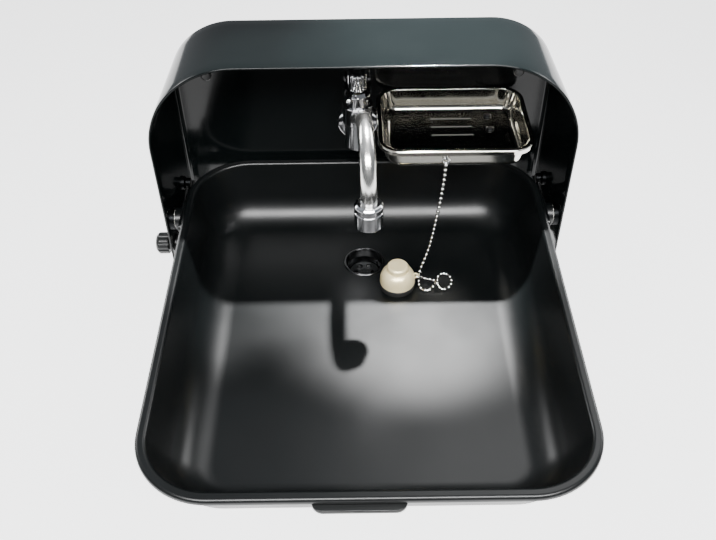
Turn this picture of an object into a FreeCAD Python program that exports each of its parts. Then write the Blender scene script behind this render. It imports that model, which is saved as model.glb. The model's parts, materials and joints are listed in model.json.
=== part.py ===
"""Wall-hung fold-up wash basin: arched housing, tub, swivel tap, soap dish, plug on a ball chain.

Millimetres. The wall is the plane y = 0, the front faces -Y, and z = 0 is the top of the tub's rim.
"""
import FreeCAD, Part
import math
import operator
import os

import Sketcher
from FreeCAD import Placement, Rotation, Vector

os.makedirs("parts", exist_ok=True)
doc = FreeCAD.newDocument("wash_basin")

# ---------------------------------------------------------------- driving dimensions
DRIVING = {
    # housing: an arched sheet box, wider at its open front than at the wall, and open below
    "housing_width": 391.0,
    "housing_back_width": 368.0,
    "housing_top": 151.0,
    "housing_bottom": 115.0,
    "housing_depth": 86.0,
    "housing_corner": 86.0,
    "housing_back_corner": 66.0,
    "housing_wall": 2.4,
    "side_foot_round": 40.0,
    "wall_hole_pitch_wide": 300.0,
    "wall_hole_pitch_tall": 190.0,
    "wall_hole_middle": 0.0,
    "wall_hole_radius": 2.75,
    # tub
    "tub_width": 348.0,
    "tub_length": 397.5,
    "tub_back_gap": 8.0,
    "tub_corner": 60.0,
    "rim_flat": 8.0,
    "rim_drop": 5.0,
    "rim_round": 3.0,
    "tub_skin": 2.4,
    "tub_depth": 65.0,
    "tub_side_draft": 14.0,
    "tub_front_draft": 24.0,
    "tub_back_draft": 8.0,
    "tub_floor_corner": 44.0,
    "tub_floor_fillet": 34.0,
    # pivots of the tub
    "pivot_forward": 71.0,
    "pivot_drop": 26.0,
    "pin_radius": 5.0,
    "running_gap": 0.05,
    "bush_wall": 2.0,
    "plate_inner": 176.0,
    "plate_thick": 4.0,
    "lock_drop": 58.0,
    # waste
    "drain_forward": 96.0,
    "drain_radius": 18.2,
    "tail_radius": 12.5,
    # tap
    "tap_left": 5.0,
    "tap_forward": 26.0,
    "tap_radius": 12.5,
    "spigot_radius": 10.45,
    "inlet_height": 42.0,
    "thread_radius": 10.48,
    "spout_reach": 145.0,
    "spout_tube_radius": 7.0,
    "spout_bore_radius": 5.6,
    "spout_rise_angle": 33.0,
    "spout_bend": 40.0,
    "spout_turn": 3.2,
    "aerator_radius": 12.4,
    # soap dish
    "dish_left": 12.8,
    "dish_right": 153.4,
    "dish_forward": 110.0,
    "dish_rim": 79.6,
    "dish_corner": 22.0,
    "dish_flat": 4.5,
    "dish_drop": 5.0,
    "dish_rim_round": 1.2,
    "dish_skin": 1.5,
    "dish_depth": 22.0,
    # pull, plug and chain
    "pull_middle": 7.6,
    "pull_width": 68.0,
    "pull_reach": 5.5,
    "pull_thick": 3.6,
    "plug_x": 31.6,
    "plug_forward": 131.0,
    "dome_radius": 17.0,
    "chain_diameter": 3.6,
}

sheet = doc.addObject("Spreadsheet::Sheet", "dims")
for row, (alias, number) in enumerate(DRIVING.items(), start=1):
    sheet.set(f"A{row}", alias)
    sheet.set(f"B{row}", str(number))
    sheet.setAlias(f"B{row}", alias)
doc.recompute()


class Size:
    """A length that carries its value and the sheet expression that gives it."""

    def __init__(self, value, text=None):
        self.value = float(value)
        self.text = text or f"({self.value})"

    def join(self, other, sign, work):
        other = size(other)
        return Size(work(self.value, other.value), f"({self.text} {sign} {other.text})")

    def __add__(self, other):
        return self.join(other, "+", operator.add)

    def __sub__(self, other):
        return self.join(other, "-", operator.sub)

    def __mul__(self, other):
        return self.join(other, "*", operator.mul)

    def __truediv__(self, other):
        return self.join(other, "/", operator.truediv)

    def __radd__(self, other):
        return size(other) + self

    def __rsub__(self, other):
        return size(other) - self

    def __neg__(self):
        return size(0) - self


def size(number):
    return number if isinstance(number, Size) else Size(number)


class Dims:
    """dims.NAME is the driving dimension of that name."""

    def __getattr__(self, name):
        return Size(DRIVING[name], f"dims.{name}")


dims = Dims()
NODES = []


def finish(obj, node):
    """Names an object as one of the basin's pieces."""
    obj.Label = node
    NODES.append(obj)
    return obj


# ---------------------------------------------------------------- sketches and bodies
def bind(obj, prop, length):
    obj.setExpression(prop, size(length).text)


def new_body(name):
    return doc.addObject("PartDesign::Body", name)


def new_sketch(body, name, role, offset=0):
    """A sketch on one of the body's own origin planes, moved along that plane's normal."""
    sketch = body.newObject("Sketcher::SketchObject", name)
    plane = next(item for item in body.Origin.OriginFeatures if item.Role == role)
    sketch.AttachmentSupport = [(plane, "")]
    sketch.MapMode = "FlatFace"
    sketch.AttachmentOffset = Placement(Vector(0, 0, size(offset).value), Rotation())
    bind(sketch, ".AttachmentOffset.Base.z", offset)
    return sketch


def fix_coordinate(sketch, kind, axis, geo, pos, length):
    """Holds one coordinate of a sketch point at a signed length from the origin."""
    if length.value == 0:
        sketch.addConstraint(Sketcher.Constraint("PointOnObject", geo, pos, axis))
    elif length.value > 0:
        index = sketch.addConstraint(Sketcher.Constraint(kind, -1, 1, geo, pos, length.value))
        bind(sketch, f"Constraints[{index}]", length)
    else:
        index = sketch.addConstraint(Sketcher.Constraint(kind, geo, pos, -1, 1, -length.value))
        bind(sketch, f"Constraints[{index}]", -length)


def fix_point(sketch, geo, pos, x, y):
    fix_coordinate(sketch, "DistanceX", -2, geo, pos, size(x))
    fix_coordinate(sketch, "DistanceY", -1, geo, pos, size(y))


def polygon(sketch, corners):
    """A closed outline of straight lines through corners given as pairs of sizes."""
    corners = [(size(x), size(y)) for x, y in corners]
    spots = [Vector(x.value, y.value, 0) for x, y in corners]
    lines = [
        sketch.addGeometry(Part.LineSegment(spots[i], spots[(i + 1) % len(spots)]), False)
        for i in range(len(spots))
    ]
    for i, line in enumerate(lines):
        sketch.addConstraint(Sketcher.Constraint("Coincident", line, 2, lines[(i + 1) % len(lines)], 1))
        fix_point(sketch, line, 1, *corners[i])


def circle(sketch, x, y, radius):
    x, y, radius = size(x), size(y), size(radius)
    ring = Part.Circle(Vector(x.value, y.value, 0), Vector(0, 0, 1), radius.value)
    geo = sketch.addGeometry(ring, False)
    fix_point(sketch, geo, 3, x, y)
    index = sketch.addConstraint(Sketcher.Constraint("Radius", geo, radius.value))
    bind(sketch, f"Constraints[{index}]", radius)


def rounded_box(sketch, x0, x1, y0, y1, corner, square_foot=False):
    """A rectangle with rounded corners; with square_foot only the two upper corners are round."""
    x0, x1, y0, y1, corner = (size(length) for length in (x0, x1, y0, y1, corner))
    left, right, low, high, r = (length.value for length in (x0, x1, y0, y1, corner))
    foot = 0 if square_foot else r

    def line(xa, ya, xb, yb):
        return sketch.addGeometry(Part.LineSegment(Vector(xa, ya, 0), Vector(xb, yb, 0)), False)

    def arc(cx, cy, start):
        ring = Part.Circle(Vector(cx, cy, 0), Vector(0, 0, 1), r)
        turn = Part.ArcOfCircle(ring, math.radians(start), math.radians(start + 90))
        return sketch.addGeometry(turn, False)

    bottom = line(left + foot, low, right - foot, low)
    side_r = line(right, low + foot, right, high - r)
    top = line(right - r, high, left + r, high)
    side_l = line(left, high - r, left, low + foot)
    arcs = [arc(right - r, high - r, 0), arc(left + r, high - r, 90)]
    joints = [(side_r, arcs[0]), (arcs[0], top), (top, arcs[1]), (arcs[1], side_l)]
    if square_foot:
        for first, second in ((side_l, bottom), (bottom, side_r)):
            sketch.addConstraint(Sketcher.Constraint("Coincident", first, 2, second, 1))
    else:
        arcs += [arc(left + r, low + r, 180), arc(right - r, low + r, 270)]
        joints += [(side_l, arcs[2]), (arcs[2], bottom), (bottom, arcs[3]), (arcs[3], side_r)]
    for first, second in joints:
        sketch.addConstraint(Sketcher.Constraint("Tangent", first, 2, second, 1))
    for flat in (bottom, top):
        sketch.addConstraint(Sketcher.Constraint("Horizontal", flat))
    for upright in (side_l, side_r):
        sketch.addConstraint(Sketcher.Constraint("Vertical", upright))
    for other in arcs[1:]:
        sketch.addConstraint(Sketcher.Constraint("Equal", arcs[0], other))
    index = sketch.addConstraint(Sketcher.Constraint("Radius", arcs[0], r))
    bind(sketch, f"Constraints[{index}]", corner)
    fix_coordinate(sketch, "DistanceY", -1, bottom, 1, y0)
    fix_coordinate(sketch, "DistanceY", -1, top, 1, y1)
    fix_coordinate(sketch, "DistanceX", -2, side_l, 1, x0)
    fix_coordinate(sketch, "DistanceX", -2, side_r, 1, x1)


def corner_outline(sketch, x, y, radius, beyond):
    """What a quarter round takes off the corner at x, y of a shape that lies up and right of it."""
    x, y, radius = size(x), size(y), size(radius)
    corners = [(x + radius, y), (x + radius, y - beyond), (x - beyond, y - beyond),
               (x - beyond, y + radius), (x, y + radius)]
    spots = [Vector(a.value, b.value, 0) for a, b in corners]
    lines = [sketch.addGeometry(Part.LineSegment(a, b), False) for a, b in zip(spots, spots[1:])]
    for first, second in zip(lines, lines[1:]):
        sketch.addConstraint(Sketcher.Constraint("Coincident", first, 2, second, 1))
    for line, corner in zip(lines, corners):
        fix_point(sketch, line, 1, *corner)
    fix_point(sketch, lines[-1], 2, *corners[-1])
    ring = Part.Circle(Vector((x + radius).value, (y + radius).value, 0), Vector(0, 0, 1), radius.value)
    turn = sketch.addGeometry(Part.ArcOfCircle(ring, math.pi, 1.5 * math.pi), False)
    sketch.addConstraint(Sketcher.Constraint("Coincident", lines[-1], 2, turn, 1))
    sketch.addConstraint(Sketcher.Constraint("Coincident", turn, 2, lines[0], 1))
    index = sketch.addConstraint(Sketcher.Constraint("Radius", turn, radius.value))
    bind(sketch, f"Constraints[{index}]", radius)


def pad(body, sketch, length, reverse=False, both=False):
    feature = body.newObject("PartDesign::Pad", sketch.Name + "_pad")
    feature.Profile = sketch
    feature.Reversed = reverse
    feature.Midplane = both
    bind(feature, "Length", length)
    return feature


def pocket(body, sketch, length, reverse=False):
    feature = body.newObject("PartDesign::Pocket", sketch.Name + "_pocket")
    feature.Profile = sketch
    feature.Reversed = reverse
    bind(feature, "Length", length)
    return feature


def loft(body, kind, low, high):
    feature = body.newObject("PartDesign::" + kind, low.Name + "_loft")
    feature.Profile = low
    feature.Sections = [high]
    return feature


def round_edges(body, base, chosen, radius, kind="Fillet"):
    """Fillets or chamfers every edge of the base feature for which chosen(edge box) is true."""
    doc.recompute()
    names = [
        f"Edge{i}" for i, edge in enumerate(base.Shape.Edges, start=1) if chosen(edge.BoundBox)
    ]
    feature = body.newObject("PartDesign::" + kind, f"{body.Name}_{kind}{len(body.Group)}")
    feature.Base = (base, names)
    bind(feature, "Radius" if kind == "Fillet" else "Size", radius)
    return feature


def near(a, b, slack=0.02):
    return abs(a - b) < slack


AXES = {
    "z": Rotation(),
    "-z": Rotation(Vector(1, 0, 0), 180),
    "x": Rotation(Vector(0, 1, 0), 90),
    "-x": Rotation(Vector(0, 1, 0), -90),
    "y": Rotation(Vector(1, 0, 0), -90),
    "-y": Rotation(Vector(1, 0, 0), 90),
}


def put(obj, x, y, z, axis="z"):
    """Places an object and keeps its position on the sheet's expressions."""
    spot = [size(x), size(y), size(z)]
    obj.Placement = Placement(Vector(*(length.value for length in spot)), AXES[axis])
    for letter, length in zip("xyz", spot):
        bind(obj, f".Placement.Base.{letter}", length)
    return obj


def turned(name, profile, x, y, z, axis="z", rounds=()):
    """A lathe-turned piece: a closed profile of (radius, height) corners about its own axis.

    rounds is a list of (radius of the circle, its height, fillet radius)."""
    body = new_body(name)
    outline = new_sketch(body, name + "_profile", "XZ_Plane")
    polygon(outline, profile)
    turn = body.newObject("PartDesign::Revolution", name + "_turn")
    turn.Profile = outline
    turn.ReferenceAxis = (outline, ["V_Axis"])
    turn.Angle = 360
    base = turn
    for ring_radius, height, fillet in rounds:
        ring_radius, height = size(ring_radius).value, size(height).value

        def on_ring(box, r=ring_radius, level=height):
            return near(box.ZMin, level) and near(box.ZMax, level) and near(box.XMax, r, 0.05)

        base = round_edges(body, base, on_ring, fillet)
    return put(body, x, y, z, axis)


def cylinder(name, radius, length, x, y, z, axis="z"):
    obj = doc.addObject("Part::Cylinder", name)
    bind(obj, "Radius", radius)
    bind(obj, "Height", length)
    return put(obj, x, y, z, axis)


def torus(name, major, minor, x, y, z, axis="z"):
    obj = doc.addObject("Part::Torus", name)
    bind(obj, "Radius1", major)
    bind(obj, "Radius2", minor)
    return put(obj, x, y, z, axis)


def cut(name, base, tool):
    obj = doc.addObject("Part::Cut", name)
    obj.Base = base
    obj.Tool = tool
    return obj


def fuse(name, shapes):
    obj = doc.addObject("Part::MultiFuse", name)
    obj.Shapes = shapes
    return obj


def group(name, shapes):
    obj = doc.addObject("Part::Compound", name)
    obj.Links = shapes
    return obj


# ---------------------------------------------------------------- housing shell
def shell_form(body, name, near_wall, front, shrink, low):
    """A block as wide as the housing: a loft from the section at near_wall to the one at front."""
    splay = (dims.housing_width - dims.housing_back_width) / 2 / dims.housing_depth
    opening_out = (dims.housing_corner - dims.housing_back_corner) / dims.housing_depth
    sections = []
    for place, distance in (("back", size(near_wall)), ("front", size(front))):
        half = dims.housing_back_width / 2 + splay * distance - shrink
        corner = dims.housing_back_corner + opening_out * distance - shrink
        outline = new_sketch(body, f"{name}_{place}", "XZ_Plane", distance)
        rounded_box(outline, -half, half, low, dims.housing_top - shrink, corner, square_foot=True)
        sections.append(outline)
    return loft(body, "AdditiveLoft", *sections)


def housing_shell():
    """Arched box of bent sheet: back wall and one wrapped wall, open to the front and below.

    Returns the form of the space inside it."""
    body = new_body("housing_shell")
    half = dims.housing_width / 2
    wall = dims.housing_wall
    shell_form(body, "shell", 0, dims.housing_depth, 0, -dims.housing_bottom)
    space = new_body("housing_space")
    shell_form(space, "space", wall, dims.housing_depth + 4, wall, -dims.housing_bottom - 5)
    doc.recompute()
    inside = doc.addObject("Part::Feature", "housing_inside")
    inside.Shape = space.Shape.copy()
    emptied = body.newObject("PartDesign::Boolean", "shell_emptied")
    emptied.Type = "Cut"
    emptied.setObjects([space])

    holes = new_sketch(body, "wall_holes", "XZ_Plane")
    for side in (-1, 1):
        for level in (-1, 1):
            circle(holes, dims.wall_hole_pitch_wide * (side / 2),
                   dims.wall_hole_middle + dims.wall_hole_pitch_tall * (level / 2),
                   dims.wall_hole_radius)
    circle(holes, -dims.tap_left, dims.inlet_height, dims.thread_radius + 0.5)
    pocket(body, holes, wall * 2, reverse=True)

    side_hole = new_sketch(body, "lock_hole", "YZ_Plane", 12 - half)
    circle(side_hole, -dims.pivot_forward, -dims.lock_drop, 6.55)
    pocket(body, side_hole, 17)

    foot_corner = new_sketch(body, "foot_corner", "YZ_Plane", half + 5)
    corner_outline(foot_corner, -dims.housing_depth, -dims.housing_bottom, dims.side_foot_round, 6)
    trimmed = pocket(body, foot_corner, dims.housing_width + 10)
    front, foot = -DRIVING["housing_depth"], -DRIVING["housing_bottom"]
    round_edges(body, trimmed, lambda box: near(box.YMax, front) and box.ZMax > foot + 60, 0.9)
    finish(body, "housing_shell")
    return inside


# ---------------------------------------------------------------- trays: the tub and the dish
def tray(body, rim, floor, levels, skin, fillet, hollow_rim):
    """A tray with a flat rim: rim and floor are (x0, x1, y0, y1, corner) outlines.

    levels is (rim height, rim width, rim drop, rim rounding, floor height). The outer form is a loft
    between the two outlines grown by the skin, with its lower edge rounded; the inside is the same
    form less the skin. Returns the outer form's shape before it was hollowed."""
    top, flat, drop, edge, bottom = levels

    def grown(outline, by):
        x0, x1, y0, y1, corner = outline
        return (x0 - by, x1 + by, y0 - by, y1 + by, corner + by)

    rim_sketch = new_sketch(body, body.Name + "_rim", "XY_Plane", top)
    rounded_box(rim_sketch, *rim)
    pad(body, rim_sketch, drop, reverse=True)
    if hollow_rim:
        under = new_sketch(body, body.Name + "_rim_under", "XY_Plane", top - drop)
        rounded_box(under, *grown(rim, -skin))
        pocket(body, under, drop - skin, reverse=True)
    mouth = grown(rim, -flat)

    outer_low = new_sketch(body, body.Name + "_outer_low", "XY_Plane", bottom - skin)
    rounded_box(outer_low, *grown(floor, skin))
    outer_high = new_sketch(body, body.Name + "_outer_high", "XY_Plane", top - skin * 0.6)
    rounded_box(outer_high, *grown(mouth, skin))
    outer = loft(body, "AdditiveLoft", outer_low, outer_high)
    base_level = (bottom - skin).value
    outer = round_edges(body, outer, lambda box: near(box.ZMax, base_level), fillet + skin)
    doc.recompute()
    outer_form = outer.Shape.copy()

    hollow = new_body(body.Name + "_hollow")
    inner_low = new_sketch(hollow, body.Name + "_inner_low", "XY_Plane", bottom)
    rounded_box(inner_low, *floor)
    inner_high = new_sketch(hollow, body.Name + "_inner_high", "XY_Plane", top)
    rounded_box(inner_high, *mouth)
    inner = loft(hollow, "AdditiveLoft", inner_low, inner_high)
    floor_level = bottom.value
    round_edges(hollow, inner, lambda box: near(box.ZMax, floor_level), fillet)
    inner = body.newObject("PartDesign::Boolean", body.Name + "_hollowed")
    inner.Type = "Cut"
    inner.setObjects([hollow])
    top_level = top.value
    round_edges(body, inner, lambda box: near(box.ZMin, top_level), edge)
    return outer_form


def basin_tub():
    """One-piece tub with a flat rolled rim, drafted walls, wide floor fillets and a drain hole."""
    body = new_body("basin_tub")
    half = dims.tub_width / 2
    back = -dims.tub_back_gap
    front = back - dims.tub_length
    flat = dims.rim_flat
    rim = (-half, half, front, back, dims.tub_corner)
    floor = (flat + dims.tub_side_draft - half, half - flat - dims.tub_side_draft,
             front + flat + dims.tub_front_draft, back - flat - dims.tub_back_draft,
             dims.tub_floor_corner)
    levels = (size(0), flat, dims.rim_drop, dims.rim_round, -dims.tub_depth)
    outer_form = tray(body, rim, floor, levels, dims.tub_skin, dims.tub_floor_fillet, hollow_rim=True)
    hole = new_sketch(body, "drain_hole", "XY_Plane", -dims.tub_depth + 5)
    circle(hole, 0, -dims.drain_forward, dims.drain_radius + 0.8)
    pocket(body, hole, 12)
    blind = new_sketch(body, "pull_screw_holes", "XZ_Plane", dims.tub_back_gap + dims.tub_length - 8)
    for side in (-1, 1):
        circle(blind, dims.pull_width * (side / 3.6) - dims.pull_middle, -22, 1.42)
    pocket(body, blind, 6.6)
    finish(body, "basin_tub")
    form = doc.addObject("Part::Feature", "tub_outer_form")
    form.Shape = outer_form
    return form


def soap_dish():
    """Polished tray with a solid flat rim, three drain slots and two screw holes in its floor."""
    body = new_body("soap_dish")
    back = -dims.housing_wall
    front = -dims.dish_forward
    flat = dims.dish_flat
    rim = (dims.dish_left, dims.dish_right, front, back, dims.dish_corner)
    inset = flat + 5
    floor = (dims.dish_left + inset, dims.dish_right - inset, front + inset, back - inset, size(14))
    bottom = dims.dish_rim - dims.dish_depth
    levels = (dims.dish_rim, flat, dims.dish_drop, dims.dish_rim_round, bottom)
    tray(body, rim, floor, levels, dims.dish_skin, size(8), hollow_rim=False)
    cuts = new_sketch(body, "dish_slots", "XY_Plane", bottom + 2)
    for row in range(3):
        middle = -53.0 + row * 13.5
        rounded_box(cuts, 64, 105, middle - 1.6, middle + 1.6, 1.5)
    for y in (-22, -44):
        circle(cuts, 121, y, 2.2)
    pocket(body, cuts, 6)
    return finish(body, "soap_dish")


def dish_support():
    """L bracket under the dish, its two screws, and the screw eye under the rim for the chain."""
    bottom = dims.dish_rim - dims.dish_depth - dims.dish_skin
    back = -dims.housing_wall
    body = new_body("dish_bracket")
    outline = new_sketch(body, "bracket_outline", "YZ_Plane", 121)
    polygon(outline, [(back, bottom - 24), (back, bottom), (-58, bottom), (-58, bottom - 2),
                      (back - 2, bottom - 2), (back - 2, bottom - 24)])
    pad(body, outline, 30, both=True)
    holes = new_sketch(body, "bracket_holes", "XY_Plane", bottom + 2)
    for y in (-22, -44):
        circle(holes, 121, y, 2.05)
    pocket(body, holes, 8)
    finish(body, "dish_bracket")

    screws = []
    seat = dims.dish_rim - dims.dish_depth
    for i, y in enumerate((-22, -44)):
        profile = [(0, -8), (2, -8), (2, 0), (3.9, 0), (3.9, 1.2), (2.6, 2.3), (0, 2.3)]
        screws.append(turned(f"dish_screw_{i}", profile, 121, y, seat))
    finish(group("dish_screws", screws), "dish_screws")

    under = dims.dish_rim - dims.dish_drop
    stub = cylinder("eye_stub", 1.2, 4.5, 73.2, -107.7, under - 4.5)
    loop = torus("eye_loop", 2.8, 0.9, 73.2, -107.7, under - 6.2, "y")
    finish(fuse("chain_eye", [stub, loop]), "chain_eye")


# ---------------------------------------------------------------- tap
def tap():
    """Wall tap: body with threaded inlet, bonnet, rosette, gasket, washer, lock nut, cartridge."""
    x, y = -dims.tap_left, -dims.tap_forward
    big, small = dims.tap_radius, dims.spigot_radius
    thread = dims.thread_radius
    inlet = dims.inlet_height
    wall_side = dims.tap_forward

    post = turned("tap_post",
                  [(0, 28), (big - 2.5, 28), (big, 30.5), (big, 57), (small, 57), (small, 60.5),
                   (9.2, 60.5), (9.2, 62.3), (small, 62.3), (small, 72.8), (9.2, 72.8),
                   (9.2, 74.6), (small, 74.6), (small, 92), (0, 92)], x, y, 0)
    shank = turned("tap_shank",
                   [(0, 0), (big - 1.5, 0), (big - 1.5, wall_side - 9), (thread, wall_side - 9),
                    (thread, wall_side + 9), (thread - 0.8, wall_side + 9),
                    (thread - 0.8, wall_side + 10.5), (thread, wall_side + 10.5),
                    (thread, wall_side + 33), (thread - 1, wall_side + 34), (0, wall_side + 34)],
                   x, y, inlet, "y")
    solid = fuse("tap_solid", [post, shank])
    water_in = cylinder("water_in", 6, dims.tap_forward + 35, x, y, inlet, "y")
    water_up = cylinder("water_up", 5, 26, x, y, inlet)
    seat = cylinder("cartridge_seat", 6.9, 30, x, y, 66)
    port = cylinder("spout_port", 4, 12, x, y, 67.5, "-y")
    finish(cut("tap_body", solid, fuse("tap_waterways", [water_in, water_up, seat, port])), "tap_body")

    finish(turned("tap_bonnet",
                  [(small + 0.02, 78.2), (big, 78.2), (big, 89), (big - 2, 92.6), (small + 0.02, 92.6)],
                  x, y, 0), "tap_bonnet")
    finish(turned("tap_cartridge",
                  [(3.05, 66), (6.8, 66), (6.8, 91.6), (3.05, 91.6)], x, y, 0), "tap_cartridge")
    seals = [torus(f"seal_{i}", 9.85, 0.55, x, y, level) for i, level in enumerate((61.4, 73.7))]
    finish(group("spout_seals", seals), "spout_seals")

    bore = thread + 0.12
    wall = dims.housing_wall
    finish(turned("tap_gasket", [(bore, 0), (19, 0), (19, 1.5), (bore, 1.5)], x, -wall - 1.5,
                  inlet, "y"), "tap_gasket")
    finish(turned("tap_flange", [(bore, 0), (15, 0), (19, 1.8), (21, 4.2), (21, 5.1), (bore, 5.1)],
                  x, -wall - 6.6, inlet, "y"), "tap_flange")
    finish(turned("inlet_washer", [(bore, 0), (17, 0), (17, 1.2), (bore, 1.2)], x, 0, inlet, "y"),
           "inlet_washer")
    nut = new_body("inlet_locknut")
    face = new_sketch(nut, "nut_face", "XZ_Plane")
    flats = 15 / math.cos(math.radians(30))
    polygon(face, [(flats * math.cos(math.radians(60 * k)), flats * math.sin(math.radians(60 * k)))
                   for k in range(6)])
    circle(face, 0, 0, bore)
    pad(nut, face, 7, reverse=True)
    put(nut, x, 1.2, inlet)
    finish(nut, "inlet_locknut")


def tap_handle():
    """Quarter-turn handle: fluted cap, side lever with a ball end, spindle and top screw."""
    x, y = -dims.tap_left, -dims.tap_forward
    body = new_body("tap_cap")
    face = new_sketch(body, "cap_face", "XY_Plane", 93.2)
    circle(face, 0, 0, 9.3)
    blank = pad(body, face, 18.6)
    edge = round_edges(body, blank, lambda box: near(box.ZMin, 111.8), 1.6, "Chamfer")
    flute = new_sketch(body, "cap_flute", "XY_Plane", 110)
    circle(flute, 10.9, 0, 2.2)
    groove = pocket(body, flute, 14)
    doc.recompute()
    around = body.newObject("PartDesign::PolarPattern", "cap_flutes")
    around.Originals = [groove]
    around.Axis = (flute, ["N_Axis"])
    around.Angle = 360
    around.Occurrences = 12
    body.Tip = around
    inside = new_sketch(body, "cap_bore", "XY_Plane", 93)
    circle(inside, 0, 0, 3.02)
    pocket(body, inside, 12, reverse=True)
    top = new_sketch(body, "cap_screw_seat", "XY_Plane", 112)
    circle(top, 0, 0, 3.6)
    pocket(body, top, 2)
    thread = new_sketch(body, "cap_screw_hole", "XY_Plane", 111)
    circle(thread, 0, 0, 1.52)
    pocket(body, thread, 8)
    put(body, x, y, 0)
    finish(body, "tap_cap")

    finish(turned("tap_spindle", [(0, 70), (3, 70), (3, 104.5), (0, 104.5)], x, y, 0), "tap_spindle")
    finish(turned("cap_screw", [(0, 105.4), (1.5, 105.4), (1.5, 110), (3.4, 110), (3.4, 111.2),
                                (2.4, 112), (0, 112)], x, y, 0), "cap_screw")

    lean = math.radians(14)
    rod = turned("lever_rod", [(0, 9.4), (1.6, 9.4), (1.1, 30.5), (0, 30.5)], x, y, 99.7, "-y")
    rod.Placement = Placement(Vector(-DRIVING["tap_left"], -DRIVING["tap_forward"], 99.7),
                              Rotation(Vector(0, 0, 1), -14) * AXES["-y"])
    ball = doc.addObject("Part::Sphere", "lever_ball")
    bind(ball, "Radius", 3.2)
    put(ball, x - 32.5 * math.sin(lean), y - 32.5 * math.cos(lean), 99.7)
    finish(fuse("tap_lever", [rod, ball]), "tap_lever")


def swivel(obj):
    """Turns a spout piece about the tap's own upright axis to where the spout stands at rest."""
    axis = Vector(-DRIVING["tap_left"], -DRIVING["tap_forward"], 0)
    turn = Placement(Vector(0, 0, 0), Rotation(Vector(0, 0, 1), DRIVING["spout_turn"]), axis)
    obj.setExpression(".Placement.Base.x", None)
    obj.setExpression(".Placement.Base.y", None)
    obj.setExpression(".Placement.Base.z", None)
    obj.Placement = turn * obj.Placement
    return obj


def spout():
    """Swan-neck spout: collar on the body's spigot, bent tube, aerator with its insert."""
    x, y = -dims.tap_left, -dims.tap_forward
    inner, outer = dims.spigot_radius + dims.running_gap, dims.tap_radius + 2
    tube_r, bore_r = dims.spout_tube_radius, dims.spout_bore_radius
    port_level = 67.5

    ring = turned("collar_ring", [(inner, 57.2), (outer - 1, 57.2), (outer, 58.2), (outer, 77),
                                  (outer - 1, 78), (inner, 78)], x, y, 0)
    port = cylinder("collar_port", 4, 20, x, y, port_level, "-y")
    finish(swivel(cut("spout_collar", ring, port)), "spout_collar")

    rise = math.radians(DRIVING["spout_rise_angle"])
    bend = DRIVING["spout_bend"]
    reach = DRIVING["spout_reach"]
    start = 12.0
    run = (reach - start - bend * (1 + math.sin(rise))) / math.cos(rise)
    foot = Vector(0, -start, port_level)
    knee = foot + Vector(0, -run * math.cos(rise), run * math.sin(rise))
    centre = knee + Vector(0, -bend * math.sin(rise), -bend * math.cos(rise))
    middle_angle = (math.pi / 2 + rise) / 2 - rise
    crown = centre + Vector(0, -bend * math.sin(middle_angle), bend * math.cos(middle_angle))
    drop = centre + Vector(0, -bend, 0)
    mouth = Vector(0, -reach, 62.6)
    edges = [Part.LineSegment(foot, knee).toShape(), Part.Arc(knee, crown, drop).toShape(),
             Part.LineSegment(drop, mouth).toShape()]
    path = Part.Wire(edges)

    def pipe(radius):
        section = Part.Wire([Part.makeCircle(radius, foot, knee - foot)])
        return path.makePipeShell([section], True, False)

    tube = doc.addObject("Part::Feature", "tube_blank")
    tube.Shape = pipe(tube_r.value).cut(pipe(bore_r.value))
    tube.Placement = Placement(Vector(x.value, y.value, 0), Rotation())
    socket = cylinder("tube_socket", outer, 40, x, y, 50)
    finish(swivel(cut("spout_tube", tube, socket)), "spout_tube")

    tip = y - dims.spout_reach
    shell_r = dims.aerator_radius
    shell = turned("aerator_shell",
                   [(10.8, 50), (shell_r - 0.6, 50), (shell_r, 50.6), (shell_r, 71.4),
                    (shell_r - 1.6, 73), (tube_r + 0.03, 73), (tube_r + 0.03, 65), (10.8, 65)],
                   x, tip, 0)
    finish(swivel(shell), "aerator_shell")
    washer = turned("aerator_washer", [(7.4, 60.4), (10.7, 60.4), (10.7, 62.4), (7.4, 62.4)], x, tip, 0)
    finish(swivel(washer), "aerator_washer")

    insert = new_body("aerator_insert")
    disc = new_sketch(insert, "insert_disc", "XY_Plane", 51)
    circle(disc, 0, 0, 10.7)
    circle(disc, 0, 0, 1.1)
    for ring_radius, count in ((4.0, 6), (7.8, 12)):
        for k in range(count):
            angle = 2 * math.pi * k / count
            circle(disc, ring_radius * math.cos(angle), ring_radius * math.sin(angle), 1.1)
    pad(insert, disc, 9.2)
    put(insert, x, tip, 0)
    finish(swivel(insert), "aerator_insert")


# ---------------------------------------------------------------- tub's pivots, stops and lock
def common(name, base, tool):
    obj = doc.addObject("Part::Common", name)
    obj.Base = base
    obj.Tool = tool
    return obj


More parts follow.
